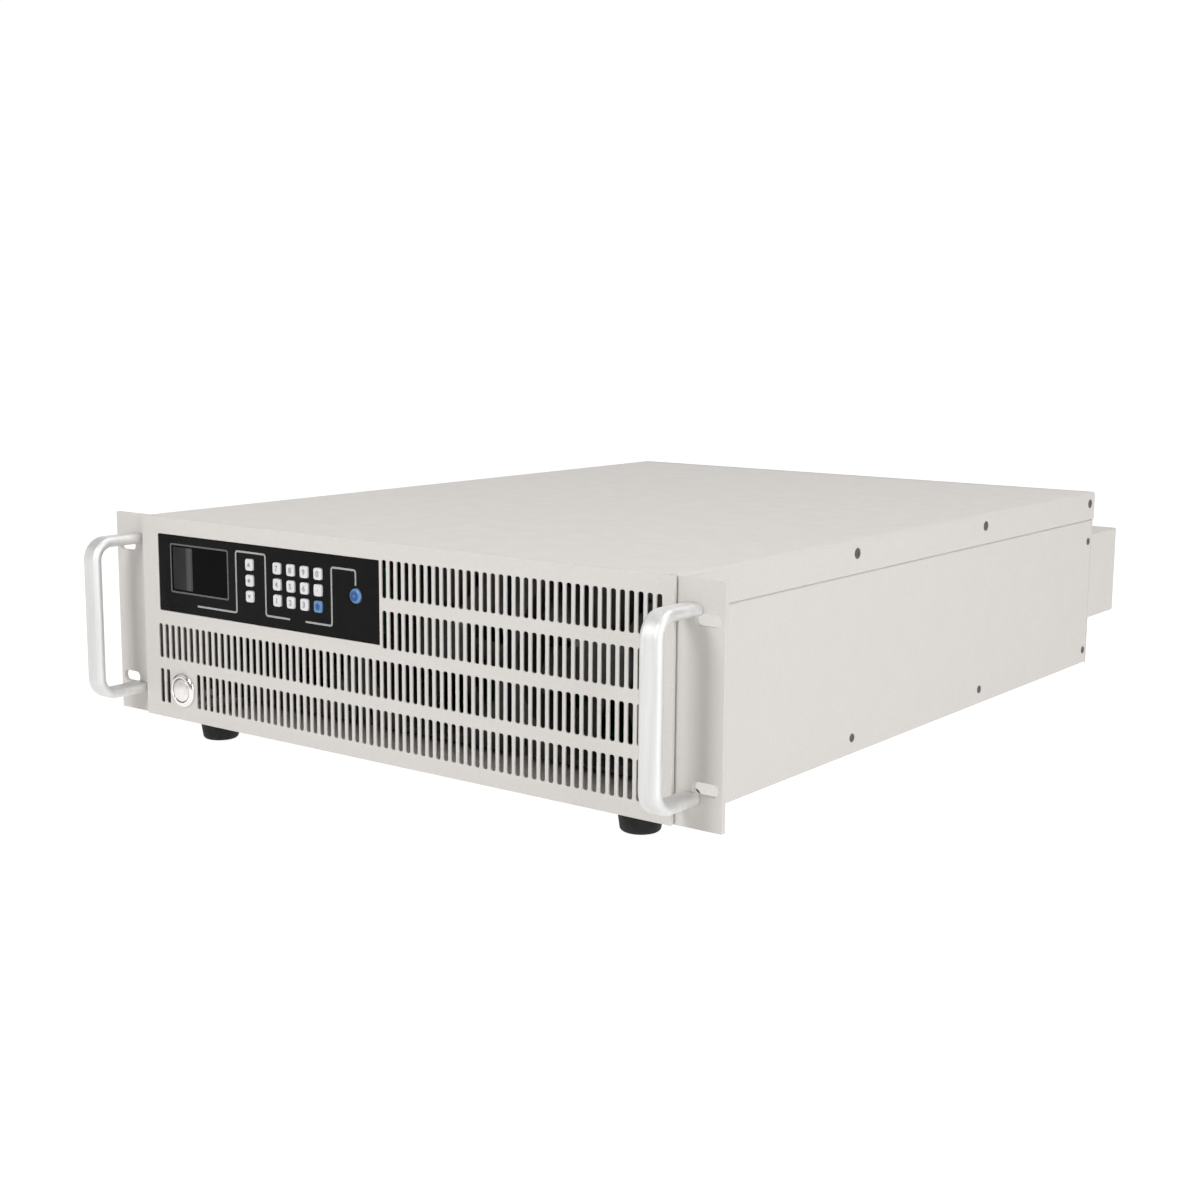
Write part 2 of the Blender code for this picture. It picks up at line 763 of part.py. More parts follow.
def fan_rotor(name, x):
    """The hub with its shaft and its pitched blades, about the fan's own axis."""
    place = (x, FAN_FRONT, FAN_Z)
    hub = cylinder(name, HUB_RADIUS, (x, FAN_FRONT + 0.004, FAN_Z), 0.025, "Y", 28)
    tools = [cylinder("shaft", 0.002, (x, FAN_FRONT + 0.028, FAN_Z), 0.0085, "Y", helper=True)]
    for blade in range(BLADES):
        turn = 2 * math.pi * blade / BLADES
        low = (-BLADE_CHORD / 2, -BLADE_SHEET / 2, HUB_RADIUS - 0.002)
        vane = box("vane", low, (BLADE_CHORD / 2, BLADE_SHEET / 2, BLADE_TIP), helper=True)
        pitch = Matrix.Rotation(BLADE_PITCH, 4, "Z")
        round_hub = Matrix.Rotation(turn, 4, "Y")
        vane.data.transform(round_hub @ pitch @ Matrix.Translation(vane.location))
        vane.location = (x, FAN_FRONT + 0.0165, FAN_Z)
        tools.append(vane)
    rotor = join(hub, tools)
    rotor.data.transform(Matrix.Translation(rotor.location - Vector(place)))
    rotor.location = place
    return finish(rotor, black_plastic())


def fan_bulkhead():
    edge = BODY_WIDTH / 2 - 0.0036
    front = FAN_FRONT + FAN_DEPTH + GAP
    loops = [rectangle(-edge, edge, SHEET + GAP, PANEL_HEIGHT - SHEET - GAP)]
    loops += [circle(x, FAN_Z, FAN_BORE, 24) for x in FAN_X]
    wall = as_mesh(plate("fan_bulkhead", loops, front, front + SHEET))
    foot = box(
        "foot",
        (-edge + 0.002, front + SHEET / 2, SHEET + 2 * GAP),
        (edge - 0.002, front + 0.010, 0.0033),
        helper=True,
    )
    return finish(join(wall, [foot]), zinc_sheet())


def cooling():
    for x, side in zip(FAN_X, ("left", "middle", "right")):
        fan_frame(f"fan_frame_{side}", x)
        fan_rotor(f"fan_rotor_{side}", x)
    fan_bulkhead()


# Power electronics

def power_board():
    board = box("power_board", (-0.190, 0.097, 0.010), (0.190, 0.200, 0.010 + PCB))
    parts = []
    for x in (-0.183, 0.183):
        for y in (0.104, 0.193):
            parts.append(cylinder("standoff", 0.003, (x, y, SHEET + GAP), 0.009, segments=8, helper=True))
    for x in (0.030, 0.056):
        for y in (0.115, 0.143, 0.171):
            parts.append(cylinder("capacitor", 0.011, (x, y, 0.011), 0.040, segments=12, helper=True))
    parts.append(cylinder("inductor", 0.024, (-0.022, 0.150, 0.011), 0.028, segments=16, helper=True))
    return finish(join(board, parts), circuit_board())


def heatsink():
    fins = 14
    left, right = -0.178, -0.058
    low, base, top = 0.0119, 0.018, 0.072
    pitch = (right - left - 0.002) / (fins - 1)
    points = [(right, low), (left, low)]
    for fin in range(fins):
        x = left + fin * pitch
        points += [(x, base), (x, top), (x + 0.002, top), (x + 0.002, base)]
    del points[2], points[-1]
    sink = plate("heatsink", [points], 0.110, 0.188)
    return finish(sink, satin_aluminium())


def contactor():
    body = box("contactor", (0.090, 0.150, 0.0119), (0.135, 0.195, 0.060))
    studs = []
    for x in (0.100, 0.125):
        studs.append(cylinder("stud", 0.004, (x, 0.1725, 0.059), 0.012, segments=12, helper=True))
    return finish(join(body, studs), black_plastic())


def main_fuse():
    body = cylinder("main_fuse", 0.010, (0.165, 0.115, 0.030), 0.055, "Y")
    parts = [
        box("holder", (0.157, 0.118, 0.0119), (0.173, 0.167, 0.028), True),
        box("blade", (0.157, 0.103, 0.0285), (0.173, 0.182, 0.0315), True),
    ]
    return finish(join(body, parts), white_key())


def battery_monitor_board():
    board = box("battery_monitor_board", (0.2020, 0.097, 0.025), (0.2036, 0.190, 0.100))
    parts = []
    for y in (0.103, 0.184):
        for z in (0.031, 0.094):
            parts.append(cylinder("standoff", 0.0025, (0.203, y, z), 0.0067, "X", 12, helper=True))
    parts.append(box("header", (0.194, 0.110, 0.085), (0.2025, 0.150, 0.093), True))
    parts.append(box("shunt", (0.196, 0.120, 0.035), (0.2025, 0.160, 0.050), True))
    return finish(join(board, parts), circuit_board())


# Cells

def battery_module(name):
    """Four prismatic cells on a base plate, clamped by a band, with the two end posts on top."""
    width, depth, height = MODULE_SIZE
    side, end = width / 2, depth / 2
    pitch = width / CELLS
    top = MODULE_FLOOR + height
    base = box(name, (-side, -end, MODULE_FLOOR), (side, end, MODULE_FLOOR + 0.004))
    parts = []
    for cell in range(CELLS):
        left = -side + cell * pitch
        low = (left + CELL_GAP, -end + BAND_STEP, MODULE_FLOOR + 0.002)
        parts.append(box("cell", low, (left + pitch - CELL_GAP, end - BAND_STEP, top), helper=True))
    low = (-side + 2 * CELL_GAP, -end, BAND_Z[0])
    parts.append(box("band", low, (side - 2 * CELL_GAP, end, BAND_Z[1]), helper=True))
    for x in (-POST_X, POST_X):
        parts.append(cylinder("post", 0.008, (x, POST_Y, top - 0.001), 0.004, segments=12, helper=True))
        parts.append(cylinder("stud", 0.003, (x, POST_Y, top), 0.010, segments=8, helper=True))
    return finish(join(base, parts), cell_case())


def battery():
    first = battery_module("battery_module_left_front")
    first.data.transform(Matrix.Translation((0, 0, first.location.z)))
    first.location = (-MODULE_X, MODULE_Y[0], 0)
    copies(first, "battery_module_right_front", (MODULE_X, MODULE_Y[0], 0))
    turned_round = (0.0, 0.0, math.pi)
    copies(first, "battery_module_left_rear", (-MODULE_X, MODULE_Y[1], 0), turned_round)
    copies(first, "battery_module_right_rear", (MODULE_X, MODULE_Y[1], 0), turned_round)


def module_link(name, start, end):
    """A flat copper strap between two studs."""
    low = MODULE_FLOOR + MODULE_SIZE[2] + 0.003 + GAP
    along_x = abs(end[0] - start[0]) > abs(end[1] - start[1])
    length = math.dist(start, end) + 0.016
    size = (length, 0.016) if along_x else (0.016, length)
    middle = ((start[0] + end[0]) / 2, (start[1] + end[1]) / 2)
    loops = [rounded(*middle, *size, 0.0078, 2), circle(*start, 0.0036, 8), circle(*end, 0.0036, 8)]
    return finish(layer(name, loops, low, low + 0.003), copper())


def module_links():
    front = MODULE_Y[0] + POST_Y
    rear = MODULE_Y[1] - POST_Y
    outer = MODULE_X + POST_X
    inner = MODULE_X - POST_X
    module_link("module_link_left", (-outer, front), (-outer, rear))
    module_link("module_link_middle", (-inner, rear), (inner, rear))
    module_link("module_link_right", (outer, front), (outer, rear))


# Rear

def bar_outline(points, half):
    """The outline of a strip that follows a square-cornered path in X and Y."""
    left, right = [], []
    for index, (x, y) in enumerate(points):
        before = points[max(index - 1, 0)]
        after = points[min(index + 1, len(points) - 1)]
        enter = Vector((x - before[0], y - before[1]))
        leave = Vector((after[0] - x, after[1] - y))
        enter = enter.normalized() if enter.length else leave.normalized()
        leave = leave.normalized() if leave.length else enter
        offset = Vector((-enter.y, enter.x))
        if (enter - leave).length > 1e-6:
            offset += Vector((-leave.y, leave.x))
        left.append((x + offset.x * half, y + offset.y * half))
        right.append((x - offset.x * half, y - offset.y * half))
    return left + right[::-1]


def output_bar(name, path):
    """A copper bar on edge from the power stage to its terminal hole behind the rear panel."""
    bar = as_mesh(layer(name, [bar_outline(path, 0.0015)], *BAR_Z))
    hole = cylinder("hole", 0.0043, (path[-1][0] - 0.005, 0.588, 0.067), 0.010, "X", 16, helper=True)
    return finish(cut(bar, [hole]), copper())


def output_bars():
    side = 0.2015
    output_bar(
        "output_bar_negative",
        [(-0.180, 0.206), (-side, 0.206), (-side, 0.543), (BAR_X[0], 0.543), (BAR_X[0], BAR_END)],
    )
    output_bar(
        "output_bar_positive",
        [(0.180, 0.206), (side, 0.206), (side, 0.5495), (BAR_X[1], 0.5495), (BAR_X[1], BAR_END)],
    )


def terminal_block():
    block = box("terminal_block", (0.080, 0.553, 0.053), (0.170, 0.568, 0.081))
    flange = box("flange", (0.075, BODY_REAR + GAP, 0.048), (0.175, 0.5675, 0.086), helper=True)
    block = join(block, [flange])
    slots = [
        box("slot", (x - 0.0018, 0.550, BAR_Z[0] - GAP), (x + 0.0018, 0.571, BAR_Z[1] + GAP), True)
        for x in BAR_X
    ]
    return finish(cut(block, slots), black_plastic())


def comms_socket():
    body = box("comms_socket", (SOCKET_X[0], 0.545, SOCKET_Z[0]), (SOCKET_X[1], 0.5645, SOCKET_Z[1]))
    middle = sum(SOCKET_X) / 2
    cavities = []
    for x in (middle - 0.0078, middle + 0.0078):
        low = (x - 0.0059, 0.551, SOCKET_Z[0] + 0.0035)
        cavities.append(box("cavity", low, (x + 0.0059, 0.570, SOCKET_Z[1] - 0.0035), True))
    return finish(cut(body, cavities), black_plastic())


def build():
    base_tray()
    top_lid()
    rear_panel()
    terminal_cover()
    front_grille()
    section = handle_section()
    for sign, side in ((-1, "left"), (1, "right")):
        rack_ear(f"rack_ear_{side}", sign)
        handle(f"handle_{side}", sign, section)
    feet()
    control_panel()
    display_lens()
    display_module()
    square_keys()
    run_key()
    control_board()
    power_button()
    cooling()
    power_board()
    heatsink()
    contactor()
    main_fuse()
    battery_monitor_board()
    battery()
    module_links()
    output_bars()
    terminal_block()
    comms_socket()


build()
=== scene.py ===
"""The looks of the rack battery unit: finer shells, fasteners, controls, finishes, light and camera.

Metres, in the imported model's own frame: +X is the right of the unit seen from its front, which
faces -Y, and +Z is up. Places are written from the panel datum: X from the middle of the front
panel, Y back from the front plane of the rack ears, Z up from the underside of the case.
"""

import math

import bmesh
import bpy
from mathutils import Matrix, Vector


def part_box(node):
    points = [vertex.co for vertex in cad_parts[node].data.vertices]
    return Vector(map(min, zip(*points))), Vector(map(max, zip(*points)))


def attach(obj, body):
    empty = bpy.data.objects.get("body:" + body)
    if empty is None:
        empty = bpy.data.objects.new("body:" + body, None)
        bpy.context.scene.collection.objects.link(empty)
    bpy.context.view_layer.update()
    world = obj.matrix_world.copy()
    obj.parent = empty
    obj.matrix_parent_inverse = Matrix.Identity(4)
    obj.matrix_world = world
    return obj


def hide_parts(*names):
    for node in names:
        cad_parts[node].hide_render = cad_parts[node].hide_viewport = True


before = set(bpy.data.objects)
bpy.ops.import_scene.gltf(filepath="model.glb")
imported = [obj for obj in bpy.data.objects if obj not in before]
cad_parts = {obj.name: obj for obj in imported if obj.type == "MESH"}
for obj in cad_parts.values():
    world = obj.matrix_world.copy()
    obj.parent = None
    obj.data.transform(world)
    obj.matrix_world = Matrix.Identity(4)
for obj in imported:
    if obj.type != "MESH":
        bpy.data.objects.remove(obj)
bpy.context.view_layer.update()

DATUM = Vector((0.0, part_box("rack_ear_right")[0].y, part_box("base_tray")[0].z))


def node_box(node):
    """A node's lowest and highest corners, from the panel datum."""
    low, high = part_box(node)
    return low - DATUM, high - DATUM


FASCIA_LOW, FASCIA_HIGH = node_box("front_grille")
EAR_LOW, EAR_HIGH = node_box("rack_ear_right")
TRAY_LOW, TRAY_HIGH = node_box("base_tray")
LID_LOW, LID_HIGH = node_box("top_lid")
REAR_HIGH = node_box("rear_panel")[1]
COVER_LOW, COVER_HIGH = node_box("terminal_cover")
HANDLE_LOW, HANDLE_HIGH = node_box("handle_right")
PANEL_FACE = node_box("control_panel")[0].y
LENS_LOW, LENS_HIGH = node_box("display_lens")
BEZEL_LOW, BEZEL_HIGH = node_box("power_button_bezel")
CAP_FRONT = node_box("power_button_cap")[0].y
RUN_LOW, RUN_HIGH = node_box("run_key")
SOCKET_LOW, SOCKET_HIGH = node_box("comms_socket")

# Case
SIDE = FASCIA_HIGH.x
TOP = FASCIA_HIGH.z
SHEET = 0.0015
GAP = 0.0003
FASCIA_SHEET = 0.0011
FASCIA_RETURN = 0.0016
FASCIA_STANDOFF = 0.0008
FASCIA_EDGE = 0.0002
EAR_EDGE = 0.0003
SHEET_EDGE = 0.0002
SEAM_GAP = 0.00012
BEND = 0.0012
SKIN = 0.00003
EAR_SHEET = 0.003
SHELL_FRONT = EAR_SHEET + GAP
CASE_CORNER = 0.0004
OPENING_CORNER = 0.0006
LID_LIP_REACH = 0.006
LID_LIP_DROP = 0.0085
TRAY_LIP_DROP = 0.0045
TRAY_BEND = 0.0008
TONGUE_REACH = 0.2064
LID_SEAM = LID_LOW.z

# Grille
SLOT_PITCH = 0.00594
SLOT_WIDTH = 0.0036
SLOT_HEIGHT = 0.0226
SLOT_CORNER = 0.0013
SLOT_COLUMNS = 68
SLOT_FIRST_X = -0.1958
LOWER_ROWS = (0.0097, 0.0397)
UPPER_ROWS = (0.0697, 0.0997)
UPPER_FIRST_COLUMN = 34
BUTTON_COLUMNS = (2, 3, 4, 5)

# Control panel, where the panel's own outline is the part in front of its rear rim
PANEL_X = (-0.1956, 0.002)
PANEL_Z = (0.0716, 0.1215)
PANEL_BACK = 0.0008
WINDOW_X = (-0.183, -0.1297)
WINDOW_Z = (0.0853, 0.1153)
REFLECTION_BAND_WIDTH = 0.0148
KEY_SIZE = (0.0067, 0.0073)
KEY_RADIUS = 0.0015
KEY_ROWS = 3
KEY_COLUMNS = 4
RUN_KEY_RADIUS = 0.0047
KEY_BACK = 0.0015
NUMERALS = ("7", "8", "9", "0", "4", "5", "6", ".", "1", "2", "3")
NUMERAL_SIZE = 0.0048
NUMERAL_WEIGHT = 0.00012
WINDOW_CORNER = 0.0008
WINDOW_INSET = 0.0012
WINDOW_FRAME = 0.0011
LINE_WIDTH = 0.0012
LINE_CORNER = 0.0016
INK = 0.00006
BUTTON_RADIUS = 0.01125
BUTTON_OPENING = 0.0097
BUTTON_CAP_RADIUS = 0.0075
BUTTON_SAG = 0.0013

# Rack ears and handles
RACK_SLOT_X = 0.2307
RACK_SLOT_Z = (0.0222, 0.1111)
RACK_SLOT_SIZE = (0.0160, 0.0068)
HANDLE_DEPTH = 0.0066
HANDLE_BEND = 0.0115
HANDLE_CORNER = 0.0031
HANDLE_SCREW_Z = (0.01625, 0.11625)
EAR_FLANGE_X = (0.2081, 0.2097)
EAR_FLANGE_Y = (0.0025, 0.048)
FLANGE_Z = (0.004, 0.106)

# Feet
FOOT_CORNER = 0.0026
FOOT_TAPER = 0.0016
FOOT_BORE_RADIUS = 0.0048
FOOT_BORE_DEPTH = 0.0080
FOOT_SCREW_RISE = 0.0068

# Fasteners
SIDE_SCREW_Y = (0.1905, 0.3703, 0.5560)
LID_SCREW_Z = 0.1240
TRAY_SCREW_Z = 0.0105
SCREW_RADIUS = 0.0027
LID_SCREW_RADIUS = 0.0033
HANDLE_SCREW_RADIUS = 0.0045
FOOT_SCREW_RADIUS = 0.0040
SCREW_STAND = 0.00035
SIDE_REAR_SCREW_Z = 0.095
REAR_SCREWS_LOW = ((-0.19, -0.06, 0.06, 0.19), 0.0075)
REAR_SCREWS_HIGH = ((0.066, 0.196), 0.108)
BASE_SCREW_X = (-0.19, 0.19)
BASE_SCREW_Y = (0.09, 0.30, 0.45)

# Rear
VENT_ROWS = (0.040, 0.084)
VENT_COLUMNS = 19
VENT_FIRST_X = -0.196
VENT_PITCH = 0.012
VENT_SIZE = (0.006, 0.038)
OUTLET_X = (0.100, 0.150)
OUTLET_Y = 0.590
OUTLET_RADIUS = 0.012
TERMINAL_OPENING_X = (0.0797, 0.1703)
TERMINAL_OPENING_Z = (0.0527, 0.0813)
REAR_FLANGE_FRONT = 0.545
COVER_BEND = 0.0025
JACK_SPACING = 0.0078
JACK_WIDTH = 0.0118
JACK_REAR = 0.551
PIN_PITCH = 0.00102
PIN_COUNT = 8

# Cooling
FAN_BORE = 0.0575
FAN_FLANGE = 0.004
FAN_SCREW_INSET = 0.0075
FAN_SCREW_RADIUS = 0.0022
HUB_RADIUS = 0.021
BLADES = 7
BLADE_SHEET = 0.0014
BLADE_CLEARANCE = 0.0008

# View and light
CAMERA_PLACE = (0.7160, -0.7391, 0.2655)
CAMERA_TURN = math.radians(36.87)
CAMERA_TILT = math.radians(90.0 - 9.28)
CAMERA_ROLL = math.radians(0.432)
CAMERA_LENS = 52.82
CAMERA_SENSOR = 36.0
BACKDROP_SIDE = (-0.585, 0.795, -0.160)

scene = bpy.context.scene


# Finishes: each is a Principled material whose colour, roughness and relief come from noise

def new_finish(name, slot, metallic=0.0, **constants):
    """A material with its constants on the shader's own sockets, and the record slot that it fills."""
    made = bpy.data.materials.new(name)
    made.use_nodes = True
    made["slot"] = slot
    shader = made.node_tree.nodes["Principled BSDF"]
    shader.inputs["Metallic"].default_value = metallic
    for socket, value in constants.items():
        shader.inputs[socket.replace("_", " ")].default_value = value
    return made


def noise(made, scale, detail=3.0, stretch=(1.0, 1.0, 1.0)):
    """A noise field over the piece's own coordinates, with about as many features a metre as its scale."""
    tree = made.node_tree
    place = tree.nodes.new("ShaderNodeTexCoord")
    mapping = tree.nodes.new("ShaderNodeMapping")
    mapping.inputs["Scale"].default_value = stretch
    field = tree.nodes.new("ShaderNodeTexNoise")
    field.inputs["Scale"].default_value = scale
    field.inputs["Detail"].default_value = detail
    tree.links.new(place.outputs["Object"], mapping.inputs["Vector"])
    tree.links.new(mapping.outputs["Vector"], field.inputs["Vector"])
    return field.outputs["Fac"]


def cells(made, scale):
    """A field of rounded cells, for speckle and grain."""
    tree = made.node_tree
    place = tree.nodes.new("ShaderNodeTexCoord")
    field = tree.nodes.new("ShaderNodeTexVoronoi")
    field.inputs["Scale"].default_value = scale
    tree.links.new(place.outputs["Object"], field.inputs["Vector"])
    return field.outputs["Distance"]


def colour(made, field, low, high, spread=(0.3, 0.7)):
    """The base colour runs from low to high as the field rises."""
    tree = made.node_tree
    ramp = tree.nodes.new("ShaderNodeValToRGB")
    for element, value, place in zip(ramp.color_ramp.elements, (low, high), spread):
        element.color = (*value, 1.0)
        element.position = place
    tree.links.new(field, ramp.inputs["Fac"])
    tree.links.new(ramp.outputs["Color"], tree.nodes["Principled BSDF"].inputs["Base Color"])


def roughness(made, field, low, high):
    tree = made.node_tree
    spread = tree.nodes.new("ShaderNodeMapRange")
    spread.inputs["From Min"].default_value = 0.3
    spread.inputs["From Max"].default_value = 0.7
    spread.inputs["To Min"].default_value = low
    spread.inputs["To Max"].default_value = high
    tree.links.new(field, spread.inputs["Value"])
    tree.links.new(spread.outputs["Result"], tree.nodes["Principled BSDF"].inputs["Roughness"])


def relief(made, field, strength, depth):
    tree = made.node_tree
    bump = tree.nodes.new("ShaderNodeBump")
    bump.inputs["Strength"].default_value = strength
    bump.inputs["Distance"].default_value = depth
    tree.links.new(field, bump.inputs["Height"])
    tree.links.new(bump.outputs["Normal"], tree.nodes["Principled BSDF"].inputs["Normal"])


def scaled(tone, share):
    return tuple(value * share for value in tone)


def powder_coat(name, slot, tone):
    """Warm grey powder coat: a very fine orange peel, with a faint mottle in its tone and gloss."""
    made = new_finish(name, slot)
    colour(made, noise(made, 900.0, 5.0), scaled(tone, 0.955), scaled(tone, 1.02))
    roughness(made, noise(made, 60.0), 0.48, 0.62)
    relief(made, noise(made, 1400.0, 2.0), 0.35, 0.0001)
    return made


def anodised():
    """Satin clear anodised aluminium, drawn along its length."""
    made = new_finish("satin_anodised", "satin_aluminium", metallic=0.75)
    colour(made, noise(made, 250.0, 4.0, (1.0, 1.0, 0.08)), (0.66, 0.66, 0.65), (0.74, 0.74, 0.73))
    roughness(made, noise(made, 400.0, 3.0, (1.0, 1.0, 0.1)), 0.50, 0.60)
    relief(made, noise(made, 2500.0, 2.0, (1.0, 1.0, 0.05)), 0.10, 0.00005)
    return made


def extruded_aluminium():
    made = new_finish("extruded_aluminium", "satin_aluminium", metallic=0.9)
    colour(made, noise(made, 300.0, 4.0, (1.0, 0.05, 1.0)), (0.62, 0.62, 0.62), (0.76, 0.76, 0.75))
    roughness(made, noise(made, 500.0, 3.0, (1.0, 0.05, 1.0)), 0.32, 0.48)
    relief(made, noise(made, 1800.0, 2.0, (1.0, 0.04, 1.0)), 0.2, 0.0001)
    return made


def rubber():
    made = new_finish("matt_rubber", "foot_rubber", Specular_IOR_Level=0.25)
    colour(made, noise(made, 300.0), (0.008, 0.008, 0.008), (0.016, 0.015, 0.015))
    roughness(made, noise(made, 200.0), 0.55, 0.75)
    relief(made, cells(made, 1500.0), 0.3, 0.0001)
    return made


def noisy(name, slot, tone, gloss, grain, metallic=0.0, **constants):
    """A finish whose tone, gloss and grain follow noise: each is the noise's settings, then its range."""
    made = new_finish(name, slot, metallic, **constants)
    colour(made, noise(made, *tone[0]), *tone[1:])
    roughness(made, noise(made, *gloss[0]), *gloss[1:])
    relief(made, noise(made, *grain[0]), *grain[1:])
    return made


# A flat semi-gloss film, for real print and for the painted reflection strips on the display
def ink_and_painted_sheen(name, tone):
    return noisy(name, "control_overlay", ((700.0,), scaled(tone, 0.9), scaled(tone, 1.05)),
                 ((400.0,), 0.40, 0.55), ((2500.0,), 0.1, 0.00003))


def moulding(name, slot, low, high, rough=(0.35, 0.5)):
    """Moulded plastic with a spark-eroded grain."""
    return noisy(name, slot, ((250.0,), low, high), ((300.0,), *rough), ((900.0, 2.0), 0.2, 0.00006))


def solder_mask():
    made = new_finish("solder_mask", "circuit_board", Specular_IOR_Level=0.6)
    colour(made, cells(made, 260.0), (0.010, 0.075, 0.030), (0.022, 0.150, 0.062), (0.15, 0.5))
    roughness(made, noise(made, 500.0), 0.28, 0.45)
    relief(made, cells(made, 500.0), 0.3, 0.00008)
    return made


CASE = powder_coat("case_powder_coat", "case_paint", (0.560, 0.537, 0.508))
# The ears' coat is the case's powder coat a little darker: painted shade, for the shade they stand in
# behind the handles
SHADED_EAR_COAT = powder_coat("ear_coat_painted_shade", "ear_paint", (0.545, 0.522, 0.494))
ALUMINIUM = anodised()
HEATSINK = extruded_aluminium()
RUBBER = rubber()
# Screen printed polyester, semi gloss
OVERLAY = noisy("black_overlay", "control_overlay",
                ((120.0,), (0.0034, 0.0031, 0.0030), (0.0056, 0.0050, 0.0048)),
                ((90.0,), 0.20, 0.32), ((1600.0, 2.0), 0.12, 0.00004), Specular_IOR_Level=0.07)
GUIDE_INK = ink_and_painted_sheen("guide_line_ink", (0.31, 0.31, 0.30))
FRAME_INK = ink_and_painted_sheen("window_frame_ink", (0.085, 0.085, 0.085))
# The next two are painted reflection, not print: the glow and the edge line of the paler strip on the
# display
REFLECTION_GLOW_PAINT = ink_and_painted_sheen("display_painted_reflection_glow", (0.024, 0.024, 0.024))
REFLECTION_EDGE_PAINT = ink_and_painted_sheen("display_painted_reflection_edge", (0.042, 0.042, 0.042))
KEY_INK = ink_and_painted_sheen("key_legend_ink", (0.22, 0.22, 0.23))
LENS = noisy("smoked_lens", "display_glass",
             ((40.0,), (0.0018, 0.0018, 0.0018), (0.0026, 0.0026, 0.0026)),
             ((30.0,), 0.05, 0.10), ((80.0, 1.0), 0.02, 0.0001), Specular_IOR_Level=0.03)
# Painted reflection: the paler strip down the left of the display, lighter colour in the glass that stands
# in for reflected light
PAINTED_REFLECTION = noisy("display_painted_reflection", "display_glass",
              ((60.0,), (0.022, 0.022, 0.022), (0.029, 0.029, 0.029)),
              ((40.0,), 0.08, 0.14), ((90.0, 1.0), 0.02, 0.0001), Specular_IOR_Level=0.05)
WHITE_KEY = moulding("pale_key_plastic", "white_key", (0.56, 0.56, 0.57), (0.63, 0.63, 0.64))
BLUE_KEY = moulding("blue_key_plastic", "blue_key", (0.080, 0.182, 0.345), (0.100, 0.216, 0.400))
BLUE_MARK = moulding("blue_key_mark", "blue_key", (0.002, 0.052, 0.190), (0.004, 0.072, 0.240))
STEEL = noisy("polished_steel", "button_steel", ((200.0,), (0.80, 0.78, 0.77), (0.88, 0.87, 0.86)),
              ((500.0,), 0.14, 0.22), ((900.0, 2.0), 0.03, 0.00004), metallic=1.0)
# The power button's cap, turned and lightly blasted
CAP_STEEL = noisy("satin_steel", "button_steel", ((300.0,), (0.74, 0.71, 0.69), (0.84, 0.81, 0.79)),
                  ((500.0,), 0.26, 0.36), ((1200.0, 2.0), 0.06, 0.00004), metallic=0.8)
SCREWS = noisy("blackened_steel", "button_steel", ((900.0,), (0.058, 0.058, 0.059), (0.098, 0.098, 0.100)),
               ((700.0,), 0.30, 0.48), ((2500.0, 2.0), 0.15, 0.00004), metallic=0.4)
BLACK = moulding("black_moulding", "black_plastic", (0.030, 0.030, 0.030), (0.046, 0.045, 0.044),
                 (0.4, 0.6))
# Zinc plated sheet, with its passivation's faint blue and yellow clouds
ZINC = noisy("zinc_plate", "zinc_sheet", ((45.0, 5.0), (0.50, 0.52, 0.56), (0.66, 0.65, 0.60)),
             ((150.0,), 0.28, 0.44), ((900.0, 2.0), 0.1, 0.00005), metallic=0.9)
BOARD = solder_mask()
# The blue shrink film round the cells
CELLS = noisy("cell_film", "cell_case", ((30.0,), (0.030, 0.095, 0.230), (0.045, 0.135, 0.300)),
              ((60.0,), 0.25, 0.42), ((140.0, 3.0), 0.25, 0.0004))
COPPER = noisy("bare_copper", "copper", ((120.0, 5.0), (0.58, 0.29, 0.18), (0.80, 0.46, 0.31)),
               ((400.0, 3.0, (1.0, 0.1, 1.0)), 0.22, 0.42),
               ((1500.0, 2.0, (1.0, 0.05, 1.0)), 0.15, 0.00006), metallic=1.0)
GOLD = noisy("contact_gold", "copper", ((900.0,), (0.78, 0.56, 0.22), (0.90, 0.68, 0.32)),
             ((900.0,), 0.18, 0.30), ((2500.0,), 0.05, 0.00003), metallic=1.0)
CERAMIC = moulding("fuse_ceramic", "fuse_ceramic", (0.70, 0.68, 0.62), (0.80, 0.78, 0.72), (0.3, 0.45))
BEZEL = moulding("display_moulding", "display_body", (0.020, 0.020, 0.020), (0.034, 0.034, 0.034))


# Shape helpers: outlines are lists of points in two axes, and meshes are in datum coordinates

STILL = Matrix.Identity(4)
UPRIGHT = Matrix.Rotation(math.pi / 2, 4, "X")
BACKWARD = Matrix.Rotation(-math.pi / 2, 4, "X")
DOWNWARD = Matrix.Rotation(math.pi, 4, "X")
SIDEWAYS = Matrix(((0, 0, 1, 0), (1, 0, 0, 0), (0, 1, 0, 0), (0, 0, 0, 1)))


def circle(x, y, radius, segments=32):
    turns = [2 * math.pi * step / segments for step in range(segments)]
    return [(x + radius * math.cos(turn), y + radius * math.sin(turn)) for turn in turns]


def rounded(x, y, width, height, radius, steps=4):
    """The outline of a rectangle with round corners, about its middle."""
    points = []
    for quarter, (side_x, side_y) in enumerate(((1, 1), (-1, 1), (-1, -1), (1, -1))):
        centre_x = x + side_x * (width / 2 - radius)
        centre_y = y + side_y * (height / 2 - radius)
        for step in range(steps + 1):
            turn = (quarter + step / steps) * math.pi / 2
            points.append((centre_x + radius * math.cos(turn), centre_y + radius * math.sin(turn)))
    return points


def rounded_between(x, y, radius, steps=4):
    """The same outline from its (low, high) in each axis."""
    return rounded(sum(x) / 2, sum(y) / 2, x[1] - x[0], y[1] - y[0], radius, steps)


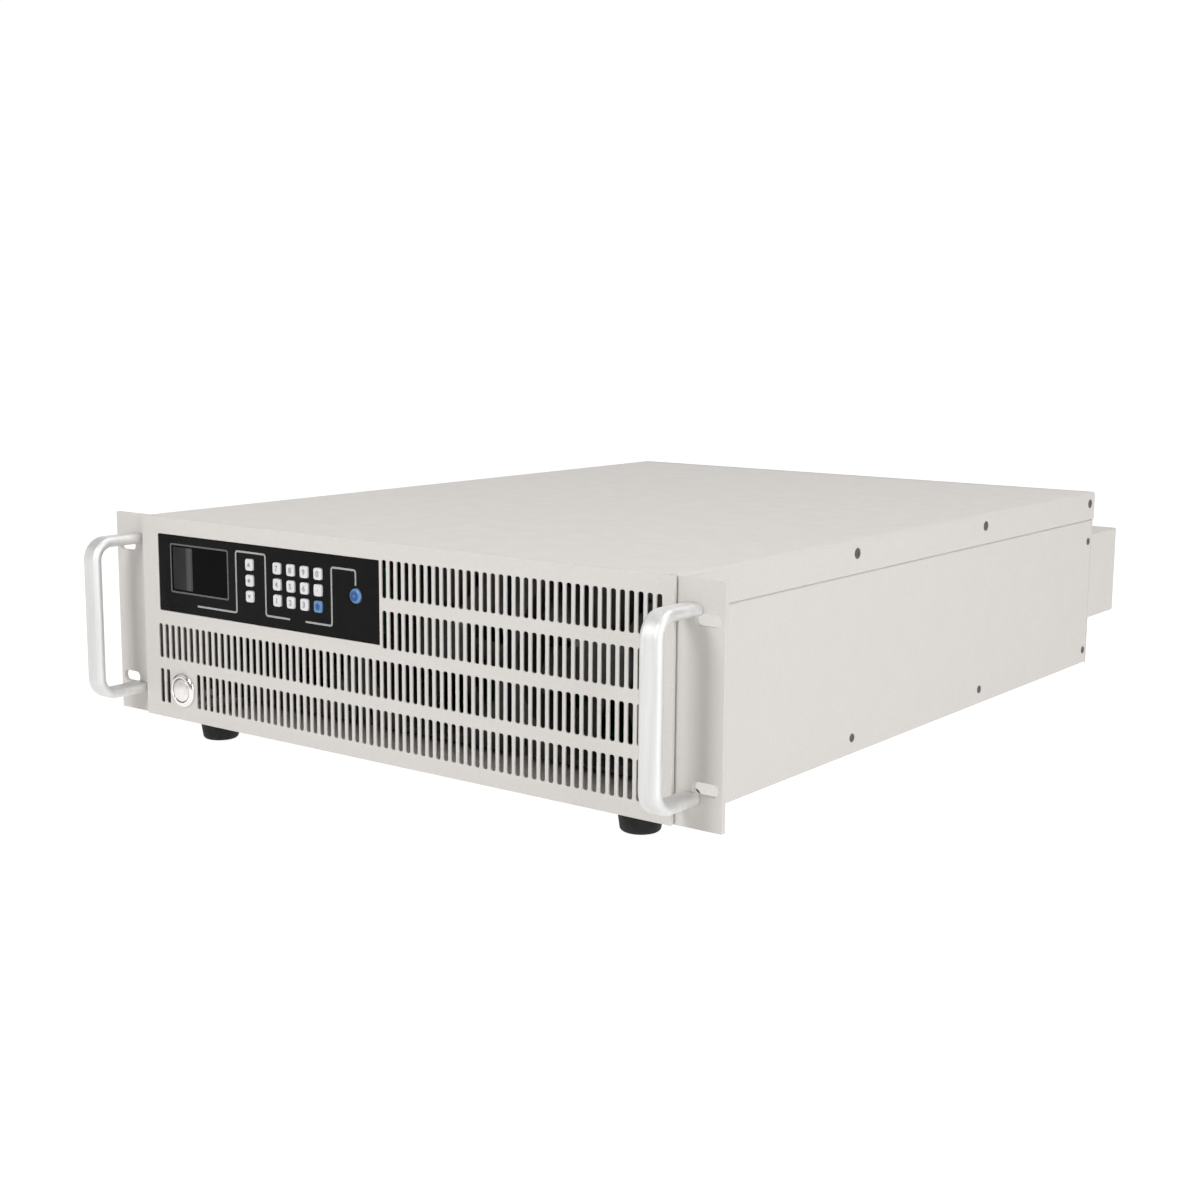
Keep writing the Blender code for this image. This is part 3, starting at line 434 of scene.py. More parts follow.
def softened(points, radius, steps=5):
    """A path whose corners are replaced by arcs of the radius."""
    made = [Vector(points[0])]
    for before, corner, after in zip(points, points[1:], points[2:]):
        corner = Vector(corner)
        back = (Vector(before) - corner).normalized()
        on = (Vector(after) - corner).normalized()
        half = math.acos(max(-1.0, min(1.0, back.dot(on)))) / 2
        reach = radius / math.tan(half)
        centre = corner + (back + on).normalized() * (radius / math.sin(half))
        start = corner + back * reach - centre
        end = corner + on * reach - centre
        sweep = start.angle_signed(end)
        for step in range(steps + 1):
            turn = -sweep * step / steps
            made.append(centre + Matrix.Rotation(turn, 2) @ start)
    return made + [Vector(points[-1])]


def ribbon(path, width):
    """The closed outline of a strip of the width that follows a path."""
    left, right = [], []
    for index, point in enumerate(path):
        before = path[max(index - 1, 0)]
        after = path[min(index + 1, len(path) - 1)]
        along = (after - before).normalized()
        across = Vector((-along.y, along.x)) * width / 2
        left.append(point + across)
        right.append(point - across)
    return [tuple(point) for point in left + right[::-1]]


def evaluated(item):
    """The mesh that a loose object shows, with its doubled points welded. The object is removed."""
    bpy.context.view_layer.update()
    graph = bpy.context.evaluated_depsgraph_get()
    mesh = bpy.data.meshes.new_from_object(item.evaluated_get(graph))
    bpy.data.objects.remove(item, do_unlink=True)
    shape = bmesh.new()
    shape.from_mesh(mesh)
    bmesh.ops.remove_doubles(shape, verts=shape.verts, dist=1e-6)
    bmesh.ops.recalc_face_normals(shape, faces=shape.faces)
    shape.to_mesh(mesh)
    shape.free()
    return mesh


def loose(data):
    item = bpy.data.objects.new("loose", data)
    scene.collection.objects.link(item)
    return item


def filled(loops, thickness, edge=0.0, edge_steps=1):
    """Outlines with their holes as a plate of the thickness about Z = 0, its edges rounded by edge."""
    curve = bpy.data.curves.new("outline", "CURVE")
    curve.dimensions = "2D"
    curve.fill_mode = "BOTH"
    curve.extrude = thickness / 2 - edge
    curve.bevel_depth = edge
    curve.bevel_resolution = edge_steps
    curve.offset = -edge
    for loop in loops:
        spline = curve.splines.new("POLY")
        spline.points.add(len(loop) - 1)
        for point, (x, y) in zip(spline.points, loop):
            point.co = (x, y, 0.0, 1.0)
        spline.use_cyclic_u = True
    return evaluated(loose(curve))


def shifted(mesh, turn, *offset):
    mesh.transform(Matrix.Translation(offset) @ turn)
    return mesh


def plate(loops, front, back, edge=0.0, edge_steps=1):
    """Outlines in X and Z, as thick as from front to back along Y."""
    mesh = filled(loops, back - front, edge, edge_steps)
    return shifted(mesh, UPRIGHT, 0, (front + back) / 2, 0)


def layer(loops, low, high, edge=0.0, edge_steps=1):
    """Outlines in X and Y, as thick as from low to high along Z."""
    return shifted(filled(loops, high - low, edge, edge_steps), STILL, 0, 0, (low + high) / 2)


def wall(loops, low, high, edge=0.0):
    """Outlines in Y and Z, as thick as from low to high along X."""
    return shifted(filled(loops, high - low, edge), SIDEWAYS, (low + high) / 2, 0, 0)


def turned(profile, steps=48, closed=False):
    """A profile of (radius, height) turned about Z, running down its outer side."""
    mesh = bpy.data.meshes.new("turned")
    edges = [(index, index + 1) for index in range(len(profile) - 1)]
    if closed:
        edges.append((len(profile) - 1, 0))
    mesh.from_pydata([(radius, 0.0, height) for radius, height in profile], edges, [])
    item = loose(mesh)
    screw = item.modifiers.new("turn", "SCREW")
    screw.axis = "Z"
    screw.steps = steps
    screw.render_steps = steps
    screw.use_merge_vertices = True
    screw.merge_threshold = 0.00001
    return evaluated(item)


def facing_front(mesh, x, y, z):
    """A mesh about Z turned to look out of the front of the panel."""
    return shifted(mesh, UPRIGHT, x, y, z)


def block(low, high, edge=0.0, edge_steps=3):
    """A box between two corners with rounded edges."""
    size = Vector(high) - Vector(low)
    middle = (Vector(high) + Vector(low)) / 2
    shape = bmesh.new()
    bmesh.ops.create_cube(shape, size=1.0)
    bmesh.ops.scale(shape, vec=size, verts=shape.verts)
    if edge:
        bmesh.ops.bevel(
            shape, geom=shape.edges[:], offset=edge, segments=edge_steps, profile=0.5, affect="EDGES",
            clamp_overlap=True,
        )
    bmesh.ops.translate(shape, vec=middle, verts=shape.verts)
    mesh = bpy.data.meshes.new("block")
    shape.to_mesh(mesh)
    shape.free()
    return mesh


def merged(meshes):
    """Several meshes as one."""
    shape = bmesh.new()
    for mesh in meshes:
        shape.from_mesh(mesh)
    made = bpy.data.meshes.new("merged")
    shape.to_mesh(made)
    shape.free()
    return made


def swept(path, section, closed=False):
    """A section carried along a path of points, with its ends capped."""
    profile = bpy.data.curves.new("section", "CURVE")
    profile.dimensions = "2D"
    outline = profile.splines.new("POLY")
    outline.points.add(len(section) - 1)
    for point, (x, y) in zip(outline.points, section):
        point.co = (x, y, 0.0, 1.0)
    outline.use_cyclic_u = True
    guide = loose(profile)
    curve = bpy.data.curves.new("sweep", "CURVE")
    curve.dimensions = "3D"
    curve.twist_mode = "Z_UP"
    curve.bevel_mode = "OBJECT"
    curve.bevel_object = guide
    curve.use_fill_caps = True
    spline = curve.splines.new("POLY")
    spline.points.add(len(path) - 1)
    for point, place in zip(spline.points, path):
        point.co = (*place, 1.0)
    spline.use_cyclic_u = closed
    mesh = evaluated(loose(curve))
    bpy.data.objects.remove(guide, do_unlink=True)
    return mesh


def piece(name, mesh, finish, body="chassis", stands_for=(), crease=35.0):
    """A piece of the object from a mesh in datum coordinates, riding on a body."""
    mesh.name = name
    mesh.transform(Matrix.Translation(DATUM))
    mesh.materials.clear()
    mesh.materials.append(finish)
    mesh.shade_smooth()
    mesh.set_sharp_from_angle(angle=math.radians(crease))
    item = bpy.data.objects.new(name, mesh)
    scene.collection.objects.link(item)
    flat = item.modifiers.new("flat_faces", "WEIGHTED_NORMAL")
    flat.keep_sharp = True
    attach(item, body)
    if stands_for:
        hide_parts(*stands_for)
    return item


# Case

def mirrored_path(half):
    """A path from its left half, whose last point is mirrored too."""
    return half + [(-x, z) for x, z in reversed(half)]


def fascia():
    """The slotted front sheet and its returned edges, with openings for the controls."""
    loops = [rounded_between((-SIDE, SIDE), (FASCIA_LOW.z, TOP), CASE_CORNER, 1)]
    for row in LOWER_ROWS + UPPER_ROWS:
        for column in range(SLOT_COLUMNS):
            over_display = row in UPPER_ROWS and column < UPPER_FIRST_COLUMN
            over_button = row == LOWER_ROWS[0] and column in BUTTON_COLUMNS
            if over_display or over_button:
                continue
            x = SLOT_FIRST_X + column * SLOT_PITCH
            loops.append(rounded(x, row + SLOT_HEIGHT / 2, SLOT_WIDTH, SLOT_HEIGHT, SLOT_CORNER, 3))
    opening_x = (PANEL_X[0] - GAP, PANEL_X[1] + GAP)
    opening_z = (PANEL_Z[0] - GAP, PANEL_Z[1] + GAP)
    loops.append(rounded_between(opening_x, opening_z, OPENING_CORNER, 2))
    button = (BEZEL_LOW + BEZEL_HIGH) / 2
    loops.append(circle(button.x, button.z, BUTTON_OPENING))
    sheet = plate(loops, FASCIA_LOW.y, FASCIA_LOW.y + FASCIA_SHEET, FASCIA_EDGE)
    edges = []
    for inset in (SKIN, FASCIA_RETURN):
        width = (-SIDE + inset, SIDE - inset)
        height = (FASCIA_LOW.z + inset, TOP - inset)
        edges.append(rounded_between(width, height, CASE_CORNER, 1))
    returned = plate(edges, FASCIA_LOW.y + FASCIA_SHEET / 2, -FASCIA_STANDOFF)
    piece("front_fascia", merged([sheet, returned]), CASE, stands_for=["front_grille"])


def tongue(low):
    """The front strip of a shell's sheet, which runs forward between the rack ears."""
    front = GAP - FASCIA_STANDOFF
    depth = (front, SHELL_FRONT + 2 * SHEET)
    outline = rounded_between((-TONGUE_REACH, TONGUE_REACH), depth, CASE_CORNER, 1)
    return layer([outline], low + SKIN, low + SHEET - SKIN)


def lid():
    """The folded lid: its top, its two side flanges and the small lip over the rear panel."""
    middle = SHEET / 2
    half = [(-SIDE + middle, LID_SEAM), (-SIDE + middle, TOP - middle)]
    path = softened(mirrored_path(half), BEND)
    shell = plate([ribbon(path, SHEET)], SHELL_FRONT, LID_HIGH.y, SHEET_EDGE)
    lip_path = softened([(LID_HIGH.y - LID_LIP_REACH, TOP - middle), (LID_HIGH.y - middle, TOP - middle),
                         (LID_HIGH.y - middle, TOP - LID_LIP_DROP)], BEND)
    lip = wall([ribbon(lip_path, SHEET)], -SIDE + 2 * SHEET, SIDE - 2 * SHEET, SHEET_EDGE)
    piece("lid_shell", merged([shell, lip, tongue(TOP - SHEET)]), CASE, stands_for=["top_lid"])


def tray():
    """The folded base, whose side walls step in by one sheet to pass under the lid's flanges."""
    middle = SHEET / 2
    lip = SIDE - SHEET - GAP - middle
    half = [
        (-lip, TOP - TRAY_LIP_DROP),
        (-lip, LID_SEAM - SEAM_GAP - middle),
        (-SIDE + middle, LID_SEAM - SEAM_GAP - middle),
        (-SIDE + middle, middle),
    ]
    path = softened(mirrored_path(half), TRAY_BEND)
    shell = plate([ribbon(path, SHEET)], SHELL_FRONT, TRAY_HIGH.y, SHEET_EDGE)
    piece("tray_shell", merged([shell, tongue(TRAY_LOW.z)]), CASE, stands_for=["base_tray"])


def rear():
    """The rear panel: ventilation slots, the terminal opening and the communication opening."""
    upper = SIDE - SHEET - GAP
    half = [(-upper, TOP - SHEET - GAP), (-upper, LID_SEAM - GAP), (-SIDE, LID_SEAM - GAP), (-SIDE, 0.0)]
    loops = [mirrored_path(half)]
    for row in VENT_ROWS:
        for column in range(VENT_COLUMNS):
            x = VENT_FIRST_X + column * VENT_PITCH
            loops.append(rounded(x, row + VENT_SIZE[1] / 2, *VENT_SIZE, VENT_SIZE[0] / 2 - 0.0001, 4))
    loops.append(rounded_between(TERMINAL_OPENING_X, TERMINAL_OPENING_Z, 0.001, 2))
    loops.append(rounded_between((SOCKET_LOW.x - GAP, SOCKET_HIGH.x + GAP),
                                 (SOCKET_LOW.z - GAP, SOCKET_HIGH.z + GAP), OPENING_CORNER, 2))
    panel = plate(loops, REAR_HIGH.y - SHEET, REAR_HIGH.y, SHEET_EDGE)
    flanges = []
    for sign in (-1, 1):
        edges = sorted(sign * x for x in EAR_FLANGE_X)
        outline = rounded_between((REAR_FLANGE_FRONT, REAR_HIGH.y - SHEET), FLANGE_Z, 0.0006, 2)
        flanges.append(wall([outline], *edges))
    piece("rear_wall", merged([panel] + flanges), CASE, stands_for=["rear_panel"])


def cover():
    """The box over the output terminals, folded with round corners and open to the rear panel."""
    middle = SHEET / 2
    front = COVER_LOW.y
    path = [(COVER_LOW.x + middle, front), (COVER_LOW.x + middle, COVER_HIGH.y - middle),
            (COVER_HIGH.x - middle, COVER_HIGH.y - middle), (COVER_HIGH.x - middle, front)]
    walls = layer([ribbon(softened(path, COVER_BEND), SHEET)], COVER_LOW.z + SHEET * 0.6,
                  COVER_HIGH.z - SHEET * 0.6, 0.0001)
    outer = softened([(COVER_LOW.x, front), (COVER_LOW.x, COVER_HIGH.y), (COVER_HIGH.x, COVER_HIGH.y),
                      (COVER_HIGH.x, front)], COVER_BEND + middle)
    outline = [tuple(point) for point in outer]
    top = layer([outline], COVER_HIGH.z - SHEET, COVER_HIGH.z, 0.0006, 2)
    holes = [circle(x, OUTLET_Y, OUTLET_RADIUS) for x in OUTLET_X]
    bottom = layer([outline] + holes, COVER_LOW.z, COVER_LOW.z + SHEET, 0.0006, 2)
    piece("terminal_hood", merged([walls, top, bottom]), CASE, stands_for=["terminal_cover"])


def grommets():
    """A rubber bush in each cable outlet."""
    profile = [
        (0.0136, 0.0028), (0.0136, 0.0012), (0.0120, 0.0009), (0.0120, -0.0009), (0.0134, -0.0012),
        (0.0134, -0.0020), (0.0126, -0.0026), (0.0100, -0.0028), (0.0092, -0.0020), (0.0092, 0.0022),
        (0.0100, 0.0030),
    ]
    profile = [(radius * OUTLET_RADIUS / 0.0121, height) for radius, height in profile]
    for x, side in zip(OUTLET_X, ("left", "right")):
        mesh = shifted(turned(profile, 40, closed=True), STILL, x, OUTLET_Y, COVER_LOW.z + SHEET / 2)
        piece(f"outlet_bush_{side}", mesh, RUBBER)


def cross_outline(reach, width):
    """A cross, as the driver's recess in a screw head."""
    arm = width / 2
    quarter = [(reach, -arm), (reach, arm), (arm, arm)]
    points = []
    for turn in range(4):
        points += [tuple(Matrix.Rotation(-turn * math.pi / 2, 2).inverted() @ Vector(p)) for p in quarter]
    return points


def screw_head(radius=SCREW_RADIUS):
    """A flat cross-head screw about Z, its face at Z = 0 and its recess open upwards."""
    face = filled([circle(0, 0, radius, 28), cross_outline(radius * 0.62, radius * 0.26)], 0.0006, 0.00012)
    floor = filled([circle(0, 0, radius * 0.92, 20)], 0.0002)
    return merged([shifted(face, STILL, 0, 0, -0.0003), shifted(floor, STILL, 0, 0, -0.00032)])


def screw_group(name, places, turn, radius=SCREW_RADIUS):
    """Screws whose faces look along the turned Z, each spun by a different amount."""
    meshes = []
    for index, place in enumerate(places):
        head = screw_head(radius)
        spin = Matrix.Rotation(0.7 * index + 0.35, 4, "Z")
        meshes.append(shifted(head, turn @ spin, *place))
    return piece(name, merged(meshes), SCREWS)


def case_screws():
    """The screws along the case sides, and those of the handles, the rear panel and the base."""
    for sign, side in ((-1, "left"), (1, "right")):
        turn = Matrix.Rotation(sign * math.pi / 2, 4, "Y")
        x = sign * (SIDE + SCREW_STAND)
        lid_places = [(x, y, LID_SCREW_Z) for y in SIDE_SCREW_Y]
        screw_group(f"lid_screws_{side}", lid_places, turn, LID_SCREW_RADIUS)
        places = [(x, y, TRAY_SCREW_Z) for y in SIDE_SCREW_Y] + [(x, SIDE_SCREW_Y[2], SIDE_REAR_SCREW_Z)]
        screw_group(f"side_screws_{side}", places, turn)
        handle_x = sign * (HANDLE_LOW.x + HANDLE_HIGH.x) / 2
        legs = [(handle_x, EAR_LOW.y + EAR_SHEET + 0.0016, z) for z in HANDLE_SCREW_Z]
        screw_group(f"handle_screws_{side}", legs, BACKWARD, HANDLE_SCREW_RADIUS)
    rear_y = REAR_HIGH.y + SCREW_STAND
    rear_places = [(x, rear_y, z) for places_x, z in (REAR_SCREWS_LOW, REAR_SCREWS_HIGH) for x in places_x]
    screw_group("rear_screws", rear_places, BACKWARD)
    base_places = [(x, y, -SCREW_STAND) for x in BASE_SCREW_X for y in BASE_SCREW_Y]
    screw_group("base_screws", base_places, DOWNWARD)


def rack_ears():
    """The slotted ears, each with the flange that is screwed to the case side."""
    for sign, side in ((-1, "left"), (1, "right")):
        edges = sorted((sign * EAR_LOW.x, sign * EAR_HIGH.x))
        loops = [rounded_between(edges, (EAR_LOW.z, EAR_HIGH.z), 0.0006, 2)]
        for z in RACK_SLOT_Z:
            width, height = RACK_SLOT_SIZE
            loops.append(rounded(sign * RACK_SLOT_X, z, width, height, height / 2 - 0.00001, 8))
        face = plate(loops, 0.0, EAR_SHEET, EAR_EDGE, 2)
        inner = sorted(sign * x for x in EAR_FLANGE_X)
        flange = wall([rounded_between(EAR_FLANGE_Y, FLANGE_Z, 0.0008, 3)], *inner, SHEET_EDGE)
        piece(f"ear_{side}", merged([face, flange]), SHADED_EAR_COAT, stands_for=[f"rack_ear_{side}"])


def handles():
    """The two grips: one drawn bar with a round-cornered section, bent twice."""
    width = HANDLE_HIGH.x - HANDLE_LOW.x
    front = HANDLE_LOW.y
    depth = HANDLE_DEPTH
    bottom = HANDLE_LOW.z + depth / 2
    top = HANDLE_HIGH.z - depth / 2
    line = [(-GAP, bottom), (front + depth / 2, bottom), (front + depth / 2, top), (-GAP, top)]
    path = softened(line, HANDLE_BEND, 14)
    section = rounded(0, 0, depth, width, HANDLE_CORNER, 6)
    stand = Matrix(((0, 0, 1, 0), (0, 1, 0, 0), (1, 0, 0, 0), (0, 0, 0, 1)))
    for sign, side in ((-1, "left"), (1, "right")):
        x = sign * (HANDLE_LOW.x + HANDLE_HIGH.x) / 2
        grip = swept([(point.y, point.x, 0.0) for point in path], section)
        grip.transform(Matrix.Translation((x, 0, 0)) @ stand)
        grip.flip_normals()
        piece(f"grip_{side}", grip, ALUMINIUM, stands_for=[f"handle_{side}"], crease=50.0)


def feet():
    """Tapered rubber feet with a round lower edge and a screw up their middle."""
    low, high = node_box("foot_front_left")
    height = high.z - low.z
    top = (high.x - low.x) / 2
    base = top - FOOT_TAPER
    profile = [(top - 0.0006, height), (top, height - 0.0006), (top, height - 0.0024)]
    for turn in [step * math.pi / 2 / 6 for step in range(7)]:
        profile.append((base - FOOT_CORNER * (1 - math.cos(turn)), FOOT_CORNER * (1 - math.sin(turn))))
    profile += [(FOOT_BORE_RADIUS + 0.0004, 0.0), (FOOT_BORE_RADIUS, 0.0005),
                (FOOT_BORE_RADIUS, FOOT_BORE_DEPTH), (0.0, FOOT_BORE_DEPTH)]
    for end in ("front", "rear"):
        for side in ("left", "right"):
            low, high = node_box(f"foot_{end}_{side}")
            middle = (low + high) / 2
            mesh = shifted(turned(profile, 40), STILL, middle.x, middle.y, low.z)
            piece(f"rubber_foot_{end}_{side}", mesh, RUBBER, stands_for=[f"foot_{end}_{side}"])
            place = (middle.x, middle.y, low.z + FOOT_SCREW_RISE)
            screw_group(f"foot_screw_{end}_{side}", [place], DOWNWARD, FOOT_SCREW_RADIUS)


# Controls

def key_names():
    """Every square key's name, in rows of one soft key and four keypad keys."""
    soft = [f"soft_key_{row + 1}" for row in range(KEY_ROWS)]
    return soft + [f"keypad_key_{index + 1}" for index in range(KEY_ROWS * KEY_COLUMNS)]


def middle_of(node):
    low, high = node_box(node)
    return (low + high) / 2


def control_face():
    """The black panel with its window and key openings."""
    loops = [rounded_between(PANEL_X, PANEL_Z, CASE_CORNER, 2)]
    loops.append(rounded_between(WINDOW_X, WINDOW_Z, WINDOW_CORNER, 3))
    width, height = [size + 2 * GAP for size in KEY_SIZE]
    for name in key_names():
        middle = middle_of(name)
        loops.append(rounded(middle.x, middle.z, width, height, KEY_RADIUS))
    run = middle_of("run_key")
    loops.append(circle(run.x, run.z, RUN_KEY_RADIUS + GAP))
    face = plate(loops, PANEL_FACE, PANEL_BACK, 0.00015)
    piece("control_face", face, OVERLAY, stands_for=["control_panel"])


def display():
    """The smoked lens, the paler strips at its left, which are painted reflection on the glass, and the
    printed frame round it.
    """
    low = (WINDOW_X[0] + GAP, LENS_LOW.y, WINDOW_Z[0] + GAP)
    high = (WINDOW_X[1] - GAP, LENS_HIGH.y, WINDOW_Z[1] - GAP)
    piece("screen_lens", block(low, high, 0.0002, 2), LENS, stands_for=["display_lens"])
    # The field, the glow and the line beside it are painted reflection: paler colour on the glass in place
    # of reflected light
    seam = WINDOW_X[0] + REFLECTION_BAND_WIDTH
    strip_z = (WINDOW_Z[0] + WINDOW_INSET, WINDOW_Z[1] - WINDOW_INSET)
    field = rounded_between((WINDOW_X[0] + WINDOW_INSET, seam), strip_z, 0.0003)
    piece("screen_painted_reflection_field", plate([field], LENS_LOW.y - INK, LENS_LOW.y + INK), PAINTED_REFLECTION)
    strips = (
        ("glow", -0.0012, 0.0050, 1.2, REFLECTION_GLOW_PAINT),
        ("line", 0.0006, 0.0032, 1.4, REFLECTION_EDGE_PAINT),
    )
    for name, start, end, lift, ink in strips:
        strip = rounded_between((seam + start, seam + end), strip_z, 0.0001, 1)
        piece(f"screen_painted_reflection_{name}", plate([strip], LENS_LOW.y - lift * INK, LENS_LOW.y + INK), ink)
    frame_x = (WINDOW_X[0] - WINDOW_FRAME, WINDOW_X[1] + WINDOW_FRAME)
    frame_z = (WINDOW_Z[0] - WINDOW_FRAME, WINDOW_Z[1] + WINDOW_FRAME)
    outer = rounded_between(frame_x, frame_z, 0.0014)
    inner = rounded_between(WINDOW_X, WINDOW_Z, WINDOW_CORNER, 3)
    piece("window_frame_line", plate([outer, inner], PANEL_FACE - INK, PANEL_FACE + INK), FRAME_INK)


def guide_lines():
    """The printed line that links the display, the soft keys, the keypad and the round key."""
    run = middle_of("run_key")
    soft = middle_of("soft_key_1")
    last = middle_of(f"keypad_key_{KEY_COLUMNS}")
    gap_side = WINDOW_X[1] + 0.0083
    bottom = PANEL_Z[0] + 0.0058
    top = PANEL_Z[1] - 0.0050
    soft_side = soft.x + 0.0138
    key_bottom = bottom + 0.0010
    key_side = last.x + 0.0110
    run_top = top - 0.0025
    upper = [
        (WINDOW_X[0] + 0.0243, bottom), (gap_side, bottom), (gap_side, top), (soft_side, top),
        (soft_side, key_bottom), (last.x - 0.0253, key_bottom),
    ]
    lower = [
        (last.x - 0.0118, key_bottom), (key_side, key_bottom), (key_side, run_top), (run.x, run_top),
        (run.x, run.z + 0.0062),
    ]
    loops = [ribbon(softened(line, LINE_CORNER), LINE_WIDTH) for line in (upper, lower)]
    marks = merged([plate([loop], PANEL_FACE - INK, PANEL_FACE + INK) for loop in loops])
    piece("panel_guide_lines", marks, GUIDE_INK)


def legend(node, text, y):
    """A generic numeral on a key, standing just proud of its face."""
    name = f"{node}_numeral"
    curve = bpy.data.curves.new(name, "FONT")
    curve.body = text
    curve.size = NUMERAL_SIZE
    curve.align_x = "CENTER"
    curve.align_y = "CENTER"
    curve.extrude = INK
    curve.offset = NUMERAL_WEIGHT
    mesh = evaluated(loose(curve))
    middle = middle_of(node)
    points = [vertex.co for vertex in mesh.vertices]
    centre = [(min(p[axis] for p in points) + max(p[axis] for p in points)) / 2 for axis in (0, 1)]
    mesh.transform(Matrix.Translation((-centre[0], -centre[1], 0)))
    piece(name, facing_front(mesh, middle.x, y, middle.z), KEY_INK, f"{node}_body")


def soft_mark(index):
    """An up arrow, a dot and a down arrow for the three soft keys."""
    reach = 0.0015
    if index == 1:
        return circle(0, 0, reach * 0.8, 20)
    sign = 1 if index == 0 else -1
    return [(-reach, -sign * reach * 0.7), (reach, -sign * reach * 0.7), (0, sign * reach)]


def keys():
    """The square keys with crowned caps, and what is printed on them."""
    for index, name in enumerate(key_names()):
        low, high = node_box(name)
        middle = (low + high) / 2
        last = index == KEY_ROWS + KEY_ROWS * KEY_COLUMNS - 1
        finish = BLUE_KEY if last else WHITE_KEY
        cap = plate([rounded(middle.x, middle.z, *KEY_SIZE, KEY_RADIUS, 4)], low.y, KEY_BACK, 0.0005, 3)
        flange = block((low.x, 0.0012, low.z), (high.x, 0.0020, high.z), 0.0001, 1)
        stem = facing_front(turned([(0.0, 0.0), (0.0016, 0.0), (0.0016, -0.0027), (0.0, -0.0027)], 20),
                            middle.x, KEY_BACK, middle.z)
        piece(f"{name}_cap", merged([cap, flange, stem]), finish, f"{name}_body", [name], crease=40.0)
        if last:
            mark = plate([rounded(middle.x, middle.z, 0.0034, 0.0040, 0.0015, 6)], low.y - INK, low.y + INK)
            piece(f"{name}_mark", mark, BLUE_MARK, f"{name}_body")
        elif index < KEY_ROWS:
            loop = [(middle.x + x, middle.z + z) for x, z in soft_mark(index)]
            piece(f"{name}_mark", plate([loop], low.y - INK, low.y + INK), KEY_INK, f"{name}_body")
        else:
            legend(name, NUMERALS[index - KEY_ROWS], low.y)


def round_key():
    """The round run key: a crowned blue cap with a ring printed on it."""
    middle = (RUN_LOW + RUN_HIGH) / 2
    radius = RUN_KEY_RADIUS
    rise = -RUN_LOW.y
    profile = [(0.0, rise), (radius * 0.40, rise - 0.0001), (radius * 0.72, rise - 0.0004),
               (radius * 0.90, rise - 0.0009), (radius, rise - 0.0016), (radius, -0.0012),
               (radius + 0.0012, -0.0012), (radius + 0.0012, -0.0020), (0.0016, -0.0020), (0.0016, -0.0042),
               (0.0, -0.0042)]
    piece("run_key_cap", facing_front(turned(profile, 40), middle.x, 0.0, middle.z), BLUE_KEY,
          "run_key_body", ["run_key"])
    ring = plate([circle(middle.x, middle.z, 0.0030, 32), circle(middle.x, middle.z, 0.0008, 20)],
                 RUN_LOW.y - INK, RUN_LOW.y + 0.0006)
    piece("run_key_mark", ring, BLUE_MARK, "run_key_body")


def power_button():
    """The steel push button: a bevelled ring round a domed cap."""
    middle = (BEZEL_LOW + BEZEL_HIGH) / 2
    radius = BUTTON_RADIUS
    rise = -BEZEL_LOW.y
    lift = -FASCIA_LOW.y
    ring = [(0.0078, rise - 0.0006), (0.0081, rise - 0.0001), (0.0086, rise), (0.0094, rise - 0.0001),
            (radius - 0.0007, rise - 0.0007), (radius - 0.0002, rise - 0.0011), (radius, rise - 0.0016),
            (radius, lift + 0.0001), (0.0094, lift + 0.0001), (0.0094, -0.016), (0.0086, -0.016),
            (0.0086, -0.001), (0.0078, -0.001)]
    place = (middle.x, 0.0, middle.z)
    piece("power_button_ring", facing_front(turned(ring, 64, closed=True), *place), STEEL,
          stands_for=["power_button_bezel"])
    top = -CAP_FRONT
    cap_radius = BUTTON_CAP_RADIUS
    sag = BUTTON_SAG
    dome = [(cap_radius * share, top - sag * share ** 2) for share in (0.0, 0.2, 0.4, 0.6, 0.8, 0.93)]
    cap = dome + [(cap_radius - 0.0001, top - sag - 0.0001), (cap_radius, top - sag - 0.0005),
                  (cap_radius, -0.0013), (0.0083, -0.0013), (0.0083, -0.0030), (0.0030, -0.0030),
                  (0.0030, -0.0130), (0.0, -0.0130)]
    piece("power_button_dome", facing_front(turned(cap, 64), *place), CAP_STEEL, "power_button_body",
          ["power_button_cap"])


# Cooling

def fan_rotor(side):
    """The motor hub with its shaft and seven twisted, cambered blades."""
    low, high = node_box(f"fan_rotor_{side}")
    middle = (low + high) / 2
    reach = (high.x - low.x) / 2 - BLADE_CLEARANCE
    front = low.y
    hub = [(0.0, 0.0), (HUB_RADIUS * 0.86, 0.0), (HUB_RADIUS * 0.96, -0.0008), (HUB_RADIUS, -0.0026),
           (HUB_RADIUS, -0.0240), (HUB_RADIUS - 0.0010, -0.0250), (0.0021, -0.0250), (0.0021, -0.0320),
           (0.0, -0.0320)]
    meshes = [facing_front(turned(hub, 48), 0, front + 0.0042, 0)]
    for blade in range(BLADES):
        sheet = blade_sheet(HUB_RADIUS - 0.0008, reach)
        turn = Matrix.Rotation(2 * math.pi * blade / BLADES, 4, "Y")
        sheet.transform(Matrix.Translation((0, front + 0.0165, 0)) @ turn)
        meshes.append(sheet)
    rotor = shifted(merged(meshes), STILL, middle.x, 0, middle.z)
    piece(f"fan_wheel_{side}", rotor, BLACK, f"fan_{side}_body", [f"fan_rotor_{side}"], crease=45.0)


